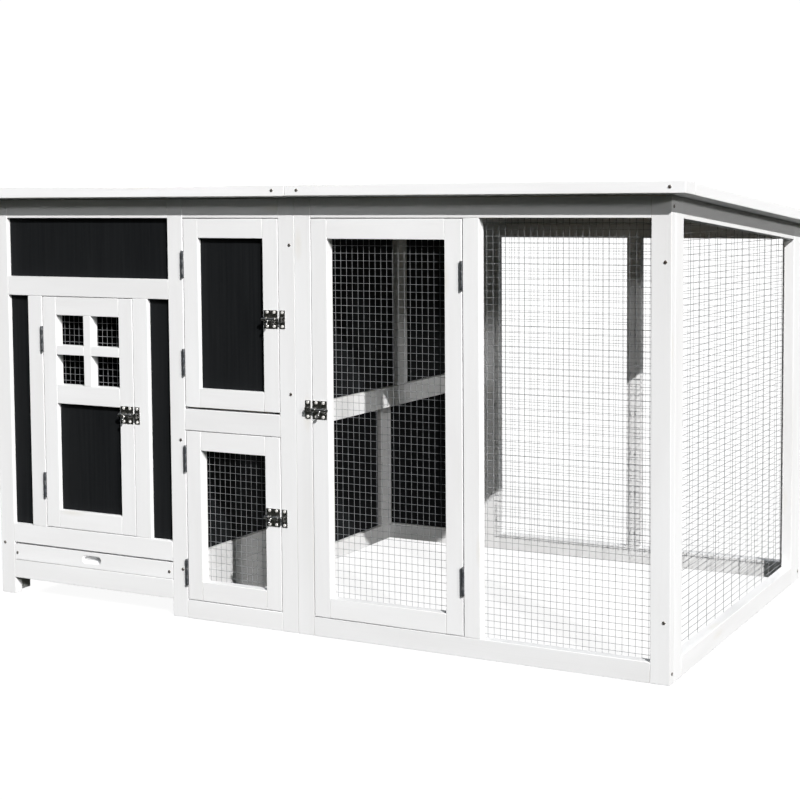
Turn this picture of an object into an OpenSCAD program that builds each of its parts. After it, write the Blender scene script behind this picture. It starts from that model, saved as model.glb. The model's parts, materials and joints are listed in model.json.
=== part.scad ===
// Chicken coop: a raised hen house with a nest bay over a small pen, joined to a wire run.
// The origin is on the ground under the middle of the roof. +X runs along the front from
// the hen house to the run, +Y runs to the back and +Z runs up.

/* [Overall] */
// Length of each of the two halves, the house and the run
half_w = 770; // [700:1:950]
// Depth over the front and back frames
body_d = 900; // [740:1:1100]
// Height of the front frames, up to the roof
front_h = 867; // [720:1:1050]
// Fall of the roof towards the back, in degrees
roof_pitch = 4.3; // [2:0.1:7]

/* [Timber] */
// Thickness of every frame and door timber
frame_t = 22; // [18:0.5:27]
// Face width of the posts of the front and back frames
post_w = 37; // [30:0.5:45]
// Face width of the stiles of the side frames and inner walls
side_stile_w = 44; // [36:0.5:54]
// Face width of the inner stiles of the hen house
inner_stile_w = 36; // [30:0.5:44]
// Face width of the stile between the run door and the wire bay
run_stile_w = 33; // [28:0.5:40]
// Height of the rails that lie on the ground
base_rail_h = 38; // [30:0.5:46]
// Height of the top rail at the front
front_top_rail_h = 40; // [30:0.5:48]
// Height of the top rail at the back
back_top_rail_h = 32; // [26:0.5:40]
// Height of the sloping top rails of the side frames
side_top_rail_h = 37; // [30:0.5:45]

/* [Hen house] */
// Clear height below the hen house
leg_clear = 36; // [20:1:60]
// Height of the rail under the tray
skirt_h = 40; // [30:1:50]
// Height of the slot that the tray slides in
tray_slot_h = 39; // [32:1:50]
// Height of the sill under the house door
sill_h = 42; // [30:1:50]
// Height of the rail over the house door
lintel_h = 41; // [30:1:50]
// Height of the panel over the lintel
top_panel_h = 126; // [80:1:160]
// Width of each narrow panel beside the house door
side_panel_w = 54.5; // [30:0.5:70]
// Face width of the stiles beside the house door
door_stile_post_w = 38; // [30:0.5:45]

/* [Nest bay] */
// Clear width of the nest bay, between its posts
nest_bay_w = 231; // [190:1:280]
// Height of the underside of the nest rail
nest_rail_z = 392; // [320:1:460]
// Height of the nest rail
nest_rail_h = 44; // [36:1:55]
// Distance from the front to the opening between house and nest bay
pop_y = 366; // [300:1:430]
// Width of the opening between house and nest bay
pop_w = 194; // [160:1:240]
// Height of one of the two boards beside the tray
side_board_h = 45; // [38:1:55]

/* [Run] */
// Clear width of the opening for the run door
run_door_bay_w = 330; // [270:1:400]

/* [Doors] */
// Face width of a door stile
door_stile_w = 35.5; // [28:0.5:42]
// Height of a door rail
door_rail_h = 39; // [30:0.5:46]
// Gap round a door on its free sides
door_gap = 1.5; // [1:0.1:3]
// Gap between a door and its post on the hinge side
hinge_gap = 2.4; // [2.2:0.1:4]
// Height of each row of window panes
pane_h = 65; // [50:1:80]
// Face width of the window bars
muntin_w = 20; // [14:0.5:26]
// Height of the house door's middle rail
lock_rail_h = 40.5; // [30:0.5:48]

/* [Boards and wire] */
// Thickness of the dark panels
panel_t = 5; // [3:0.5:8]
// How far the dark panels lie behind the face of their frame
panel_recess = 10; // [4:0.5:12]
// Thickness of the welded wire sheets, one wire deep
mesh_t = 0.9; // [0.6:0.1:1.6]
// How far a wire sheet laps over its frame
mesh_lap = 12; // [8:0.5:15]
// Thickness of the nest floor
floor_t = 9; // [6:0.5:12]
// Side of the square battens under the nest floor and the tray
bearer = 20; // [14:1:26]

/* [Roof] */
// How far the roof stands out on every side
roof_out = 36; // [20:1:60]
// Thickness of the roof battens, which are the fascia too
roof_t = 22; // [18:0.5:30]
// Width of the roof battens
roof_batten_w = 56; // [40:1:70]
// Thickness of the roof boards
deck_t = 9; // [6:0.5:12]
// Thickness of the roofing felt
felt_t = 2; // [1:0.1:3]
// How far the felt stops short of the edge
felt_inset = 30; // [10:1:45]

/* [Tray] */
// Thickness of the tray's sheet metal
pan_t = 1.2; // [0.8:0.1:2]
// Height of the tray's walls
pan_h = 30; // [20:1:34]
// Width of the hand slot
slot_w = 50; // [40:1:80]
// Height of the hand slot
slot_h = 17; // [14:1:22]

/* [Hinges] */
// Height of a hinge
hinge_h = 54; // [40:1:70]
// Radius of a hinge knuckle
knuckle_r = 3; // [2.5:0.1:3.2]
// Radius of a hinge pin
hinge_pin_r = 1.5; // [1.2:0.1:1.8]
// Thickness of a hinge leaf
leaf_t = 0.9; // [0.6:0.1:1]
// Depth of a hinge leaf
leaf_d = 20; // [14:0.5:22]

/* [Latches] */
// Width of the plate on the door
plate_w = 32; // [28:1:40]
// Height of the latch plates
plate_h = 36; // [30:1:44]
// Thickness of the latch plates
plate_t = 1.2; // [0.8:0.1:2]
// Radius of the bolt
bolt_r = 3; // [2.5:0.1:3.5]
// Travel of the bolt
bolt_travel = 8.5; // [6:0.5:9]
// Width of the keeper
keeper_w = 12; // [10:0.5:16]

/* [Hidden] */
$fn = 32;

// Finishes
white_paint = "#ecebe7";
black_board = "#1d2022";
bare_wood = "#c9a878";
zinc = "#b9bcbe";
nickel = "#c6c4bd";
felt_grey = "#3a3c3e";

// Small gaps: between timbers of one frame, and between a piece and what it seats on
joint = 0.2;
seat = 0.3;
// Radial clearance of a pin or a bolt in its bore
bore_fit = 0.05;
keeper_fit = 0.3;

// Places along the front, from the left face of the hen house
body_w = 2 * half_w;
nest_x1 = half_w - post_w;
nest_x0 = nest_x1 - nest_bay_w;
mid_post_x = nest_x0 - post_w;
house_x0 = post_w;
house_x1 = mid_post_x;
door_stile_x0 = house_x0 + side_panel_w;
house_door_x0 = door_stile_x0 + door_stile_post_w;
door_stile_x1 = house_x1 - side_panel_w - door_stile_post_w;
house_door_x1 = door_stile_x1;
run_x0 = half_w + post_w;
run_door_x1 = run_x0 + run_door_bay_w;
run_bay_x0 = run_door_x1 + run_stile_w;
run_x1 = body_w - post_w;

// Heights
skirt_z = leg_clear;
tray_z = skirt_z + skirt_h;
sill_z = tray_z + tray_slot_h;
house_door_z = sill_z + sill_h;
top_z = front_h - front_top_rail_h;
lintel_z = top_z - top_panel_h - lintel_h;
nest_door_z = nest_rail_z + nest_rail_h;
wall_rail_rise = 16;
wall_rail_z = nest_rail_z + wall_rail_rise;
side_board_z = base_rail_h + 2 * side_board_h;

// Depths
back_y = body_d - frame_t;
inner_y0 = frame_t;
inner_y1 = back_y;
side_front_y = inner_y0 + side_stile_w;
side_back_y = inner_y1 - side_stile_w;
middle_y0 = body_d / 2 - side_stile_w / 2;
middle_y1 = body_d / 2 + side_stile_w / 2;
pop_y1 = pop_y + pop_w;

// Inner walls: the one between house and nest bay, and the one between nest bay and run
house_wall_x = [nest_x0 - frame_t, nest_x0];
nest_wall_x = [half_w - frame_t, half_w];

// Heights of the frames, which follow the roof
function roof_z(y) = front_h - tan(roof_pitch) * y;
front_top = roof_z(frame_t);
back_top = roof_z(body_d);
back_top_z = back_top - back_top_rail_h;

// A door: left, right, bottom and top of its leaf, hinge side, hinge inset, latch height.
// The nest door has a wider gap under it than the others
LEFT = -1;
RIGHT = 1;
nest_low_gap = 4.5;
function make_door(x0, x1, z0, z1, side, inset, latch_up, low_gap = door_gap) = [
    x0 + (side == LEFT ? hinge_gap : door_gap),
    x1 - (side == RIGHT ? hinge_gap : door_gap),
    z0 + low_gap,
    z1 - door_gap,
    side,
    inset,
    (z0 + z1) / 2 + latch_up
];
function left_of(d) = d[0];
function right_of(d) = d[1];
function bottom_of(d) = d[2];
function top_of(d) = d[3];
function side_of(d) = d[4];
function hinges_of(d) = [d[2] + d[5], d[3] - d[5]];
function latch_z_of(d) = d[6];

house_door = make_door(house_door_x0, house_door_x1, house_door_z, lintel_z, LEFT, 91, 6);
nest_door = make_door(nest_x0, nest_x1, nest_door_z, top_z, LEFT, 92, -5, nest_low_gap);
pen_door = make_door(nest_x0, nest_x1, base_rail_h, nest_rail_z, LEFT, 57, 14);
run_door = make_door(run_x0, run_door_x1, base_rail_h, top_z, RIGHT, 105, 19);
DOORS = [house_door, nest_door, pen_door, run_door];

// Hinge places: the pin stands in front of the gap
pin_out = knuckle_r + 0.2;
leaf_slack = 0.1;
knuckle_gap = 0.3;
knuckle_h = (hinge_h - 2 * knuckle_gap) / 3;

// Latch places, measured from the free edge of the door along +X
bolt_out = seat + plate_t + 0.5 + bolt_r;
guide_w = 6;
guide_wall = 1.6;
guide_inset = 2;
bolt_tip = 1.5;
keeper_x = 4;
knob_reach = 12;
knob_r = 3.2;
neck_r = 1.8;
neck_tilt = 50;
screw_r = 3.2;
screw_h = 1.2;
latch_screw_z = 14;
// The knob's neck stops this far short of the guide when the bolt is thrown
knob_gap = 0.7;
knob_x = -1 - guide_inset - guide_w - neck_r - knob_gap - bolt_travel;

// Moves from the left front foot to the origin of the part
module at_corner() {
    translate([-body_w / 2, -body_d / 2, 0])
        children();
}

// A square timber or board between two values along each axis
module block(x, y, z) {
    translate([x[0], y[0], z[0]])
        cube([x[1] - x[0], y[1] - y[0], z[1] - z[0]]);
}

// A timber in a side wall whose edges may follow the roof: z values at its front and back
module wall_block(x, y, low, high) {
    translate([x[0], 0, 0])
        rotate([90, 0, 90])
            linear_extrude(x[1] - x[0])
                polygon([[y[0], low[0]], [y[1], low[1]], [y[1], high[1]], [y[0], high[0]]]);
}

// A stile of a side wall, from z up to the roof
module wall_stile(x, y, z) {
    wall_block(x, y, [z, z], [roof_z(y[0]), roof_z(y[1])]);
}

// A rail of a side wall, between two stiles
module wall_rail(x, y, z) {
    block(x, [y[0] + joint, y[1] - joint], z);
}

// A sloping top rail of a side wall, between two stiles
module wall_top_rail(x, y) {
    a = y[0] + joint;
    b = y[1] - joint;
    wall_block(x, [a, b], [roof_z(a) - side_top_rail_h, roof_z(b) - side_top_rail_h],
        [roof_z(a), roof_z(b)]);
}

// A dark panel in a side wall, from z up to the top rail
module wall_top_panel(x, y, z) {
    a = y[0] + joint;
    b = y[1] - joint;
    drop = side_top_rail_h + joint;
    wall_block(x, [a, b], [z + joint, z + joint], [roof_z(a) - drop, roof_z(b) - drop]);
}

// A post or stile of the front or back frame
module upright(x, z, y = 0) {
    block(x, [y, y + frame_t], z);
}

// A rail of the front or back frame, between two posts
module rail(x, z, y = 0) {
    block([x[0] + joint, x[1] - joint], [y, y + frame_t], z);
}

// A dark panel of a front, back or door frame
module panel(x, z, y = 0) {
    block([x[0] + joint, x[1] - joint], [y + panel_recess, y + panel_recess + panel_t],
        [z[0] + joint, z[1] - joint]);
}

// A panel of a back frame, recessed from the outside
module back_panel(x, z) {
    panel(x, z, body_d - 2 * panel_recess - panel_t);
}

// A wire sheet behind an opening of a front or door frame
module mesh_behind(x, z, y = frame_t) {
    lap = min(mesh_lap, post_w - frame_t - seat);
    block([x[0] - lap, x[1] + lap], [y + joint, y + joint + mesh_t],
        [z[0] - mesh_lap, z[1] + mesh_lap]);
}

// ---- Frames ----

module house_front_frame() {
    color(white_paint)
        at_corner() {
            for (x = [0, mid_post_x, nest_x1])
                upright([x, x + post_w], [0, front_top]);
            for (x = [door_stile_x0, door_stile_x1])
                upright([x, x + door_stile_post_w], [house_door_z + joint, lintel_z - joint]);
            house = [house_x0, house_x1];
            rail(house, [skirt_z, tray_z]);
            rail(house, [sill_z, house_door_z]);
            rail(house, [lintel_z, lintel_z + lintel_h]);
            rail(house, [top_z, front_top]);
            nest = [nest_x0, nest_x1];
            rail(nest, [0, base_rail_h]);
            rail(nest, [nest_rail_z, nest_door_z]);
            rail(nest, [top_z, front_top]);
        }
}

module house_left_frame() {
    x = [0, frame_t];
    color(white_paint)
        at_corner() {
            wall_stile(x, [inner_y0 + joint, side_front_y], 0);
            wall_stile(x, [side_back_y, inner_y1 - joint], 0);
            wall_block(x, [pop_y1, pop_y1 + inner_stile_w],
                [house_door_z + joint, house_door_z + joint],
                [roof_z(pop_y1) - side_top_rail_h - joint,
                    roof_z(pop_y1 + inner_stile_w) - side_top_rail_h - joint]);
            span = [side_front_y, side_back_y];
            wall_rail(x, span, [skirt_z, tray_z]);
            wall_rail(x, span, [tray_z + joint, sill_z - joint]);
            wall_rail(x, span, [sill_z, house_door_z]);
            wall_top_rail(x, span);
        }
}

module house_back_frame() {
    color(white_paint)
        at_corner() {
            for (x = [0, mid_post_x, nest_x1])
                upright([x, x + post_w], [0, back_top], back_y);
            house = [house_x0, house_x1];
            rail(house, [skirt_z, tray_z], back_y);
            rail(house, [tray_z + joint, sill_z - joint], back_y);
            rail(house, [sill_z, house_door_z], back_y);
            rail(house, [wall_rail_z, wall_rail_z + nest_rail_h], back_y);
            rail(house, [back_top_z, back_top], back_y);
            nest = [nest_x0, nest_x1];
            rail(nest, [0, base_rail_h], back_y);
            rail(nest, [wall_rail_z, wall_rail_z + nest_rail_h], back_y);
            rail(nest, [back_top_z, back_top], back_y);
        }
}

// The wall between the hen house and the nest bay, with two openings for the hens
module house_wall_frame() {
    x = house_wall_x;
    y0 = inner_y0 + joint;
    y1 = inner_y1 - joint;
    top_gap = side_top_rail_h + joint;
    color(white_paint)
        at_corner() {
            wall_stile(x, [y0, side_front_y], 0);
            wall_stile(x, [side_back_y, y1], 0);
            wall_rail(x, [side_front_y, side_back_y], [0, base_rail_h]);
            for (i = [0, 1]) {
                z = base_rail_h + joint + i * side_board_h;
                wall_rail(x, [side_front_y, pop_y1], [z, z + side_board_h - joint]);
            }
            low = side_board_z + joint;
            a = pop_y - inner_stile_w;
            wall_block(x, [a, pop_y], [low, low],
                [wall_rail_z - joint, wall_rail_z - joint]);
            wall_block(x, [pop_y1, pop_y1 + inner_stile_w],
                [base_rail_h + joint, base_rail_h + joint],
                [wall_rail_z - joint, wall_rail_z - joint]);
            wall_rail(x, [side_front_y, side_back_y], [wall_rail_z, wall_rail_z + nest_rail_h]);
            up = wall_rail_z + nest_rail_h + joint;
            for (y = [a, pop_y1])
                wall_block(x, [y, y + inner_stile_w], [up, up],
                    [roof_z(y) - top_gap, roof_z(y + inner_stile_w) - top_gap]);
            wall_top_rail(x, [side_front_y, side_back_y]);
        }
}

// The wall between the nest and the run, open below the nest
module nest_wall_frame() {
    x = nest_wall_x;
    top_gap = side_top_rail_h + joint;
    up = wall_rail_z + nest_rail_h + joint;
    color(white_paint)
        at_corner() {
            wall_stile(x, [inner_y0 + joint, side_front_y], wall_rail_z);
            wall_stile(x, [side_back_y, inner_y1 - joint], wall_rail_z);
            wall_block(x, [middle_y0, middle_y1], [up, up],
                [roof_z(middle_y0) - top_gap, roof_z(middle_y1) - top_gap]);
            wall_rail(x, [side_front_y, side_back_y], [wall_rail_z, wall_rail_z + nest_rail_h]);
            wall_top_rail(x, [side_front_y, side_back_y]);
        }
}

module run_front_frame() {
    color(white_paint)
        at_corner() {
            upright([half_w + joint, run_x0], [0, front_top]);
            upright([run_x1, body_w], [0, front_top]);
            upright([run_door_x1, run_bay_x0], [base_rail_h + joint, top_z - joint]);
            rail([run_x0, run_x1], [0, base_rail_h]);
            rail([run_x0, run_x1], [top_z, front_top]);
        }
}

module run_side_frame() {
    x = [body_w - frame_t, body_w];
    color(white_paint)
        at_corner() {
            wall_stile(x, [inner_y0 + joint, side_front_y], 0);
            wall_stile(x, [side_back_y, inner_y1 - joint], 0);
            wall_rail(x, [side_front_y, side_back_y], [0, base_rail_h]);
            wall_top_rail(x, [side_front_y, side_back_y]);
        }
}

module run_back_frame() {
    color(white_paint)
        at_corner() {
            upright([half_w + joint, run_x0], [0, back_top], back_y);
            upright([run_x1, body_w], [0, back_top], back_y);
            upright([run_door_x1, run_bay_x0], [base_rail_h + joint, back_top_z - joint], back_y);
            rail([run_x0, run_x1], [0, base_rail_h], back_y);
            rail([run_x0, run_x1], [back_top_z, back_top], back_y);
        }
}

// ---- Dark panels ----

module house_front_panels() {
    color(black_board)
        at_corner() {
            panel([house_x0, house_x1], [lintel_z + lintel_h, top_z]);
            panel([house_x0, door_stile_x0], [house_door_z, lintel_z]);
            panel([door_stile_x1 + door_stile_post_w, house_x1], [house_door_z, lintel_z]);
        }
}

module house_left_panels() {
    x = [panel_recess, panel_recess + panel_t];
    color(black_board)
        at_corner() {
            wall_top_panel(x, [side_front_y, pop_y1], house_door_z);
            wall_top_panel(x, [pop_y1 + inner_stile_w, side_back_y], house_door_z);
        }
}

module house_back_panels() {
    rail_top = wall_rail_z + nest_rail_h;
    color(black_board)
        at_corner() {
            back_panel([house_x0, house_x1], [house_door_z, wall_rail_z]);
            back_panel([house_x0, house_x1], [rail_top, back_top_z]);
            back_panel([nest_x0, nest_x1], [base_rail_h, wall_rail_z]);
            back_panel([nest_x0, nest_x1], [rail_top, back_top_z]);
        }
}

module house_wall_panels() {
    x = [nest_x0 - panel_recess - panel_t, nest_x0 - panel_recess];
    up = wall_rail_z + nest_rail_h;
    front = [side_front_y + joint, pop_y - inner_stile_w - joint];
    back = [pop_y1 + inner_stile_w + joint, side_back_y - joint];
    color(black_board)
        at_corner() {
            block(x, front, [side_board_z + joint, wall_rail_z - joint]);
            block(x, back, [base_rail_h + joint, wall_rail_z - joint]);
            wall_top_panel(x, [side_front_y, pop_y - inner_stile_w], up);
            wall_top_panel(x, [pop_y1 + inner_stile_w, side_back_y], up);
        }
}

module nest_wall_panels() {
    x = [half_w - panel_recess - panel_t, half_w - panel_recess];
    up = wall_rail_z + nest_rail_h;
    color(black_board)
        at_corner() {
            wall_top_panel(x, [side_front_y, middle_y0], up);
            wall_top_panel(x, [middle_y1, side_back_y], up);
        }
}

// ---- Welded wire ----

module run_front_mesh() {
    color(zinc)
        at_corner()
            mesh_behind([run_bay_x0, run_x1], [base_rail_h, top_z]);
}

module run_side_mesh() {
    x1 = body_w - frame_t - joint;
    y0 = side_front_y - mesh_lap;
    y1 = side_back_y + mesh_lap;
    z = base_rail_h - mesh_lap;
    drop = side_top_rail_h - mesh_lap;
    color(zinc)
        at_corner()
            wall_block([x1 - mesh_t, x1], [y0, y1], [z, z], [roof_z(y0) - drop, roof_z(y1) - drop]);
}

module run_back_mesh() {
    y = back_y - 2 * joint - mesh_t;
    z = [base_rail_h, back_top_z];
    half_stile = run_stile_w / 2 - joint / 2 - mesh_lap;
    color(zinc)
        at_corner() {
            mesh_behind([run_x0, run_door_x1 + half_stile], z, y);
            mesh_behind([run_bay_x0 - half_stile, run_x1], z, y);
        }
}

// ---- Inside the house ----

runner_lip = 14;
runner_w = post_w - frame_t + runner_lip;

module tray_runners() {
    z = [tray_z + seat - bearer, tray_z + seat];
    y = [inner_y0 + joint, inner_y1 - joint];
    color(bare_wood)
        at_corner() {
            block([frame_t + joint, frame_t + runner_w], y, z);
            block([house_wall_x[0] - runner_w, house_wall_x[0] - joint], y, z);
        }
}

module nest_floor() {
    z = wall_rail_z + bearer + joint;
    color(bare_wood)
        at_corner()
            block([nest_x0 + seat, nest_wall_x[0] - seat], [inner_y0 + seat, inner_y1 - seat],
                [z, z + floor_t]);
}

module nest_bearers() {
    y = [inner_y0 + joint, inner_y1 - joint];
    z = [wall_rail_z, wall_rail_z + bearer];
    color(bare_wood)
        at_corner() {
            block([nest_x0 + joint, nest_x0 + bearer], y, z);
            block([nest_wall_x[0] - bearer, nest_wall_x[0] - joint], y, z);
        }
}

perch_y = pop_y1 + inner_stile_w / 2;
perch_z = 300;
perch_w = 24;
perch_h = 30;
cradle_w = 34;
cradle_t = 16;
cradle_floor = 10;
cradle_drop = 8;

module perch() {
    color(bare_wood)
        at_corner()
            block([frame_t + joint + seat, house_wall_x[0] - joint - seat],
                [perch_y - perch_w / 2, perch_y + perch_w / 2], [perch_z, perch_z + perch_h]);
}

// A block with a slot that the perch drops into
module perch_cradles() {
    z = perch_z - seat;
    slot = perch_w / 2 + seat;
    color(bare_wood)
        at_corner()
            for (x = [frame_t + joint, house_wall_x[0] - joint - cradle_t])
                difference() {
                    block([x, x + cradle_t], [perch_y - cradle_w / 2, perch_y + cradle_w / 2],
                        [z - cradle_floor, z + perch_h - cradle_drop]);
                    block([x - 1, x + cradle_t + 1], [perch_y - slot, perch_y + slot],
                        [z, z + perch_h]);
                }
}

// ---- Roof ----

// Length of the roof down its slope, so that it stands out evenly over front and back
roof_len = (body_d + 2 * roof_out * cos(roof_pitch) - (roof_t + felt_t) * sin(roof_pitch))
    / cos(roof_pitch);
roof_seam = 0.6;
house_roof_x = [-roof_out, half_w - roof_seam / 2];
run_roof_x = [half_w + roof_seam / 2, body_w + roof_out];

// Moves to the roof's own plane, which starts at its front edge
module on_roof() {
    at_corner()
        translate([0, 0, front_h + seat])
            rotate([-roof_pitch, 0, 0])
                translate([0, -roof_out, 0])
                    children();
}

// Front and back battens run the full width, and the side battens stand between them
module roof_battens(x) {
    w = roof_batten_w;
    on_roof() {
        block(x, [0, w], [0, roof_t]);
        block(x, [roof_len - w, roof_len], [0, roof_t]);
        for (a = [x[0], x[1] - w])
            block([a, a + w], [w + joint, roof_len - w - joint], [0, roof_t]);
    }
}

module house_roof_battens() {
    color(white_paint)
        roof_battens(house_roof_x);
}

module run_roof_battens() {
    color(white_paint)
        roof_battens(run_roof_x);
}

module roof_boards() {
    w = roof_batten_w + joint;
    color(bare_wood)
        on_roof()
            for (x = [house_roof_x, run_roof_x])
                block([x[0] + w, x[1] - w], [w, roof_len - w], [roof_t - deck_t, roof_t]);
}

module roof_felt() {
    i = felt_inset;
    color(felt_grey)
        on_roof()
            for (x = [house_roof_x, run_roof_x])
                block([x[0] + i, x[1] - i], [i, roof_len - i],
                    [roof_t + joint, roof_t + joint + felt_t]);
}

// ---- Screws ----

// A low screw head that stands on a face which looks along -Y
module screw_head() {
    rotate([90, 0, 0])
        cylinder(h = screw_h, r1 = screw_r, r2 = screw_r * 0.7);
}

// Screws in the front and back posts: middle of each wall behind them, and their heights
screw_low = 112;
wall_screws = [
    [frame_t / 2, [screw_low]],
    [nest_x0 - frame_t / 2, [screw_low - 11, nest_rail_z - 21]],
    [half_w - frame_t / 2, [nest_door_z + 43, top_z - 53]],
    [body_w - frame_t / 2, [screw_low, top_z - 77]]
];

// Heights of the screws through a side wall into the ends of the rails
function side_screws(at_front) = [
    base_rail_h / 2,
    at_front ? top_z + front_top_rail_h / 2 : back_top_z + back_top_rail_h / 2
];

module frame_screws() {
    color(zinc)
        at_corner() {
            for (wall = wall_screws)
                for (z = wall[1]) {
                    translate([wall[0], -joint, z])
                        screw_head();
                    translate([wall[0], body_d + joint, z])
                        rotate([0, 0, 180])
                            screw_head();
                }
            for (at_front = [true, false])
                for (z = side_screws(at_front)) {
                    y = at_front ? frame_t / 2 : body_d - frame_t / 2;
                    translate([body_w + joint, y, z])
                        rotate([0, 0, 90])
                            screw_head();
                    translate([-joint, y, z])
                        rotate([0, 0, -90])
                            screw_head();
                }
        }
}

// Screws through the front and back battens of the roof into its side battens
module roof_screws() {
    mid = roof_batten_w / 2;
    color(zinc)
        on_roof()
            for (x = concat([for (e = house_roof_x) e], [for (e = run_roof_x) e])) {
                is_left = x == house_roof_x[0] || x == run_roof_x[0];
                translate([x + (is_left ? mid : -mid), -joint, roof_t / 2])
                    screw_head();
                translate([x + (is_left ? mid : -mid), roof_len + joint, roof_t / 2])
                    rotate([0, 0, 180])
                        screw_head();
            }
}

// ---- Tray ----

tray_gap = 1;
tray_screw_in = 8;
tray_screw_up = 16;
pan_end_gap = 5;
pan_front_lip = 6;
tray_x = [house_x0 + tray_gap, house_x1 - tray_gap];

module tray_front() {
    mid_x = (tray_x[0] + tray_x[1]) / 2;
    mid_z = tray_z + tray_slot_h / 2;
    color(white_paint)
        at_corner()
            difference() {
                block(tray_x, [0, frame_t], [tray_z + tray_gap, sill_z - tray_gap]);
                for (s = [-1, 1])
                    translate([mid_x + s * (slot_w - slot_h) / 2, -1, mid_z])
                        rotate([-90, 0, 0])
                            cylinder(h = frame_t + 2, d = slot_h);
                block([mid_x - (slot_w - slot_h) / 2, mid_x + (slot_w - slot_h) / 2],
                    [-1, frame_t + 1], [mid_z - slot_h / 2, mid_z + slot_h / 2]);
            }
}

// Folded sheet pan with a drop in its front wall behind the hand slot
module tray_pan() {
    y = [frame_t + joint, inner_y1 - pan_end_gap];
    z = tray_z + 2 * seat;
    mid_x = (tray_x[0] + tray_x[1]) / 2;
    color(zinc)
        at_corner()
            difference() {
                block(tray_x, y, [z, z + pan_h]);
                block([tray_x[0] + pan_t, tray_x[1] - pan_t], [y[0] + pan_t, y[1] - pan_t],
                    [z + pan_t, z + pan_h + 1]);
                block([mid_x - slot_w, mid_x + slot_w], [y[0] - 1, y[0] + pan_t + 1],
                    [z + pan_t + pan_front_lip, z + pan_h + 1]);
            }
}

module tray_screws() {
    color(zinc)
        at_corner()
            for (x = [tray_x[0] + tray_screw_in, tray_x[1] - tray_screw_in])
                translate([x, -joint, tray_z + tray_screw_up])
                    screw_head();
}

// ---- Hinges ----

// Stands at each hinge of a door, with +X towards the door and the pin's middle at the origin
module at_hinges(d) {
    left = side_of(d) == LEFT;
    x = left ? left_of(d) - hinge_gap / 2 : right_of(d) + hinge_gap / 2;
    at_corner()
        for (z = hinges_of(d))
            translate([x, -pin_out, z])
                mirror([left ? 0 : 1, 0, 0])
                    children();
}

// One leaf: a plate in the gap, tongues and knuckles at the given steps along the pin
module leaf(x, steps) {
    difference() {
        union() {
            translate([x, pin_out, -hinge_h / 2])
                cube([leaf_t, leaf_d, hinge_h]);
            for (i = steps) {
                z = -hinge_h / 2 + i * (knuckle_h + knuckle_gap);
                translate([0, 0, z])
                    cylinder(h = knuckle_h, r = knuckle_r);
                translate([x, 0, z])
                    cube([leaf_t, pin_out + 1, knuckle_h]);
            }
        }
        translate([0, 0, -hinge_h])
            cylinder(h = 2 * hinge_h, r = hinge_pin_r + bore_fit);
    }
}

module door_leaf() {
    leaf(hinge_gap / 2 - leaf_slack - leaf_t, [1]);
}

module hinge_frame_leaves() {
    color(nickel)
        for (d = DOORS)
            at_hinges(d)
                leaf(-hinge_gap / 2 + leaf_slack, [0, 2]);
}

module hinge_pins() {
    color(nickel)
        for (d = DOORS)
            at_hinges(d)
                translate([0, 0, -hinge_h / 2])
                    cylinder(h = hinge_h, r = hinge_pin_r);
}

// ---- Latches ----

// Stands at the free edge of a door on its face, with +X towards the keeper
module at_latch(d) {
    left = side_of(d) == LEFT;
    at_corner()
        translate([left ? right_of(d) : left_of(d), 0, latch_z_of(d)])
            mirror([left ? 0 : 1, 0, 0])
                children();
}

// A plate with round guides over the bolt
module guide_plate(x, w, guides, bore_r) {
    difference() {
        union() {
            block([x, x + w], [-joint - plate_t, -joint], [-plate_h / 2, plate_h / 2]);
            for (g = guides) {
                translate([g, -bolt_out, 0])
                    rotate([0, 90, 0])
                        cylinder(h = guide_w, r = bolt_r + guide_wall);
                block([g, g + guide_w], [-bolt_out, -joint],
                    [-bolt_r - guide_wall, bolt_r + guide_wall]);
            }
        }
        translate([x - 1, -bolt_out, 0])
            rotate([0, 90, 0])
                cylinder(h = w + 2, r = bore_r);
    }
}

module latch_plate(d) {
    x = -1 - plate_w;
    color(nickel)
        at_latch(d)
            guide_plate(x, plate_w, [x + guide_inset, -1 - guide_inset - guide_w],
                bolt_r + bore_fit);
}

module latch_screws(d) {
    color(zinc)
        at_latch(d)
            for (x = [-1 - plate_w / 4, -1 - 3 * plate_w / 4])
                for (z = [-latch_screw_z, latch_screw_z])
                    translate([x, -2 * joint - plate_t, z])
                        screw_head();
}

// The bolt with its bent knob, drawn back clear of the keeper
module bolt(d) {
    color(nickel)
        at_latch(d)
            translate([0, -bolt_out, 0]) {
                translate([-plate_w - 4, 0, 0])
                    rotate([0, 90, 0])
                        cylinder(h = plate_w + 4 + bolt_tip, r = bolt_r);
                translate([knob_x, 0, 0])
                    rotate([90 + neck_tilt, 0, 0]) {
                        cylinder(h = knob_reach, r = neck_r);
                        translate([0, 0, knob_reach])
                            sphere(r = knob_r);
                    }
            }
}

// A small plate with a square strap that the bolt's tip runs into
module keeper() {
    middle = keeper_x + keeper_w / 2;
    half = bolt_r + keeper_fit;
    wall = half + guide_wall;
    plate_front = -joint - plate_t;
    difference() {
        union() {
            block([keeper_x, keeper_x + keeper_w], [plate_front, -joint],
                [-plate_h / 2, plate_h / 2]);
            block([middle - guide_w / 2, middle + guide_w / 2],
                [-bolt_out - wall, plate_front], [-wall, wall]);
        }
        block([keeper_x - 1, keeper_x + keeper_w + 1], [-bolt_out - half, plate_front],
            [-half, half]);
    }
}

module latch_keepers() {
    color(nickel)
        for (d = DOORS)
            at_latch(d)
                keeper();
}

module keeper_screws() {
    color(zinc)
        for (d = DOORS)
            at_latch(d)
                for (z = [-latch_screw_z, latch_screw_z])
                    translate([keeper_x + keeper_w / 2, -2 * joint - plate_t, z])
                        screw_head();
}

// ---- Doors ----

// The clear opening inside a door's stiles and rails
function open_x(d) = [left_of(d) + door_stile_w, right_of(d) - door_stile_w];
function open_z(d) = [bottom_of(d) + door_rail_h, top_of(d) - door_rail_h];

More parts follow.
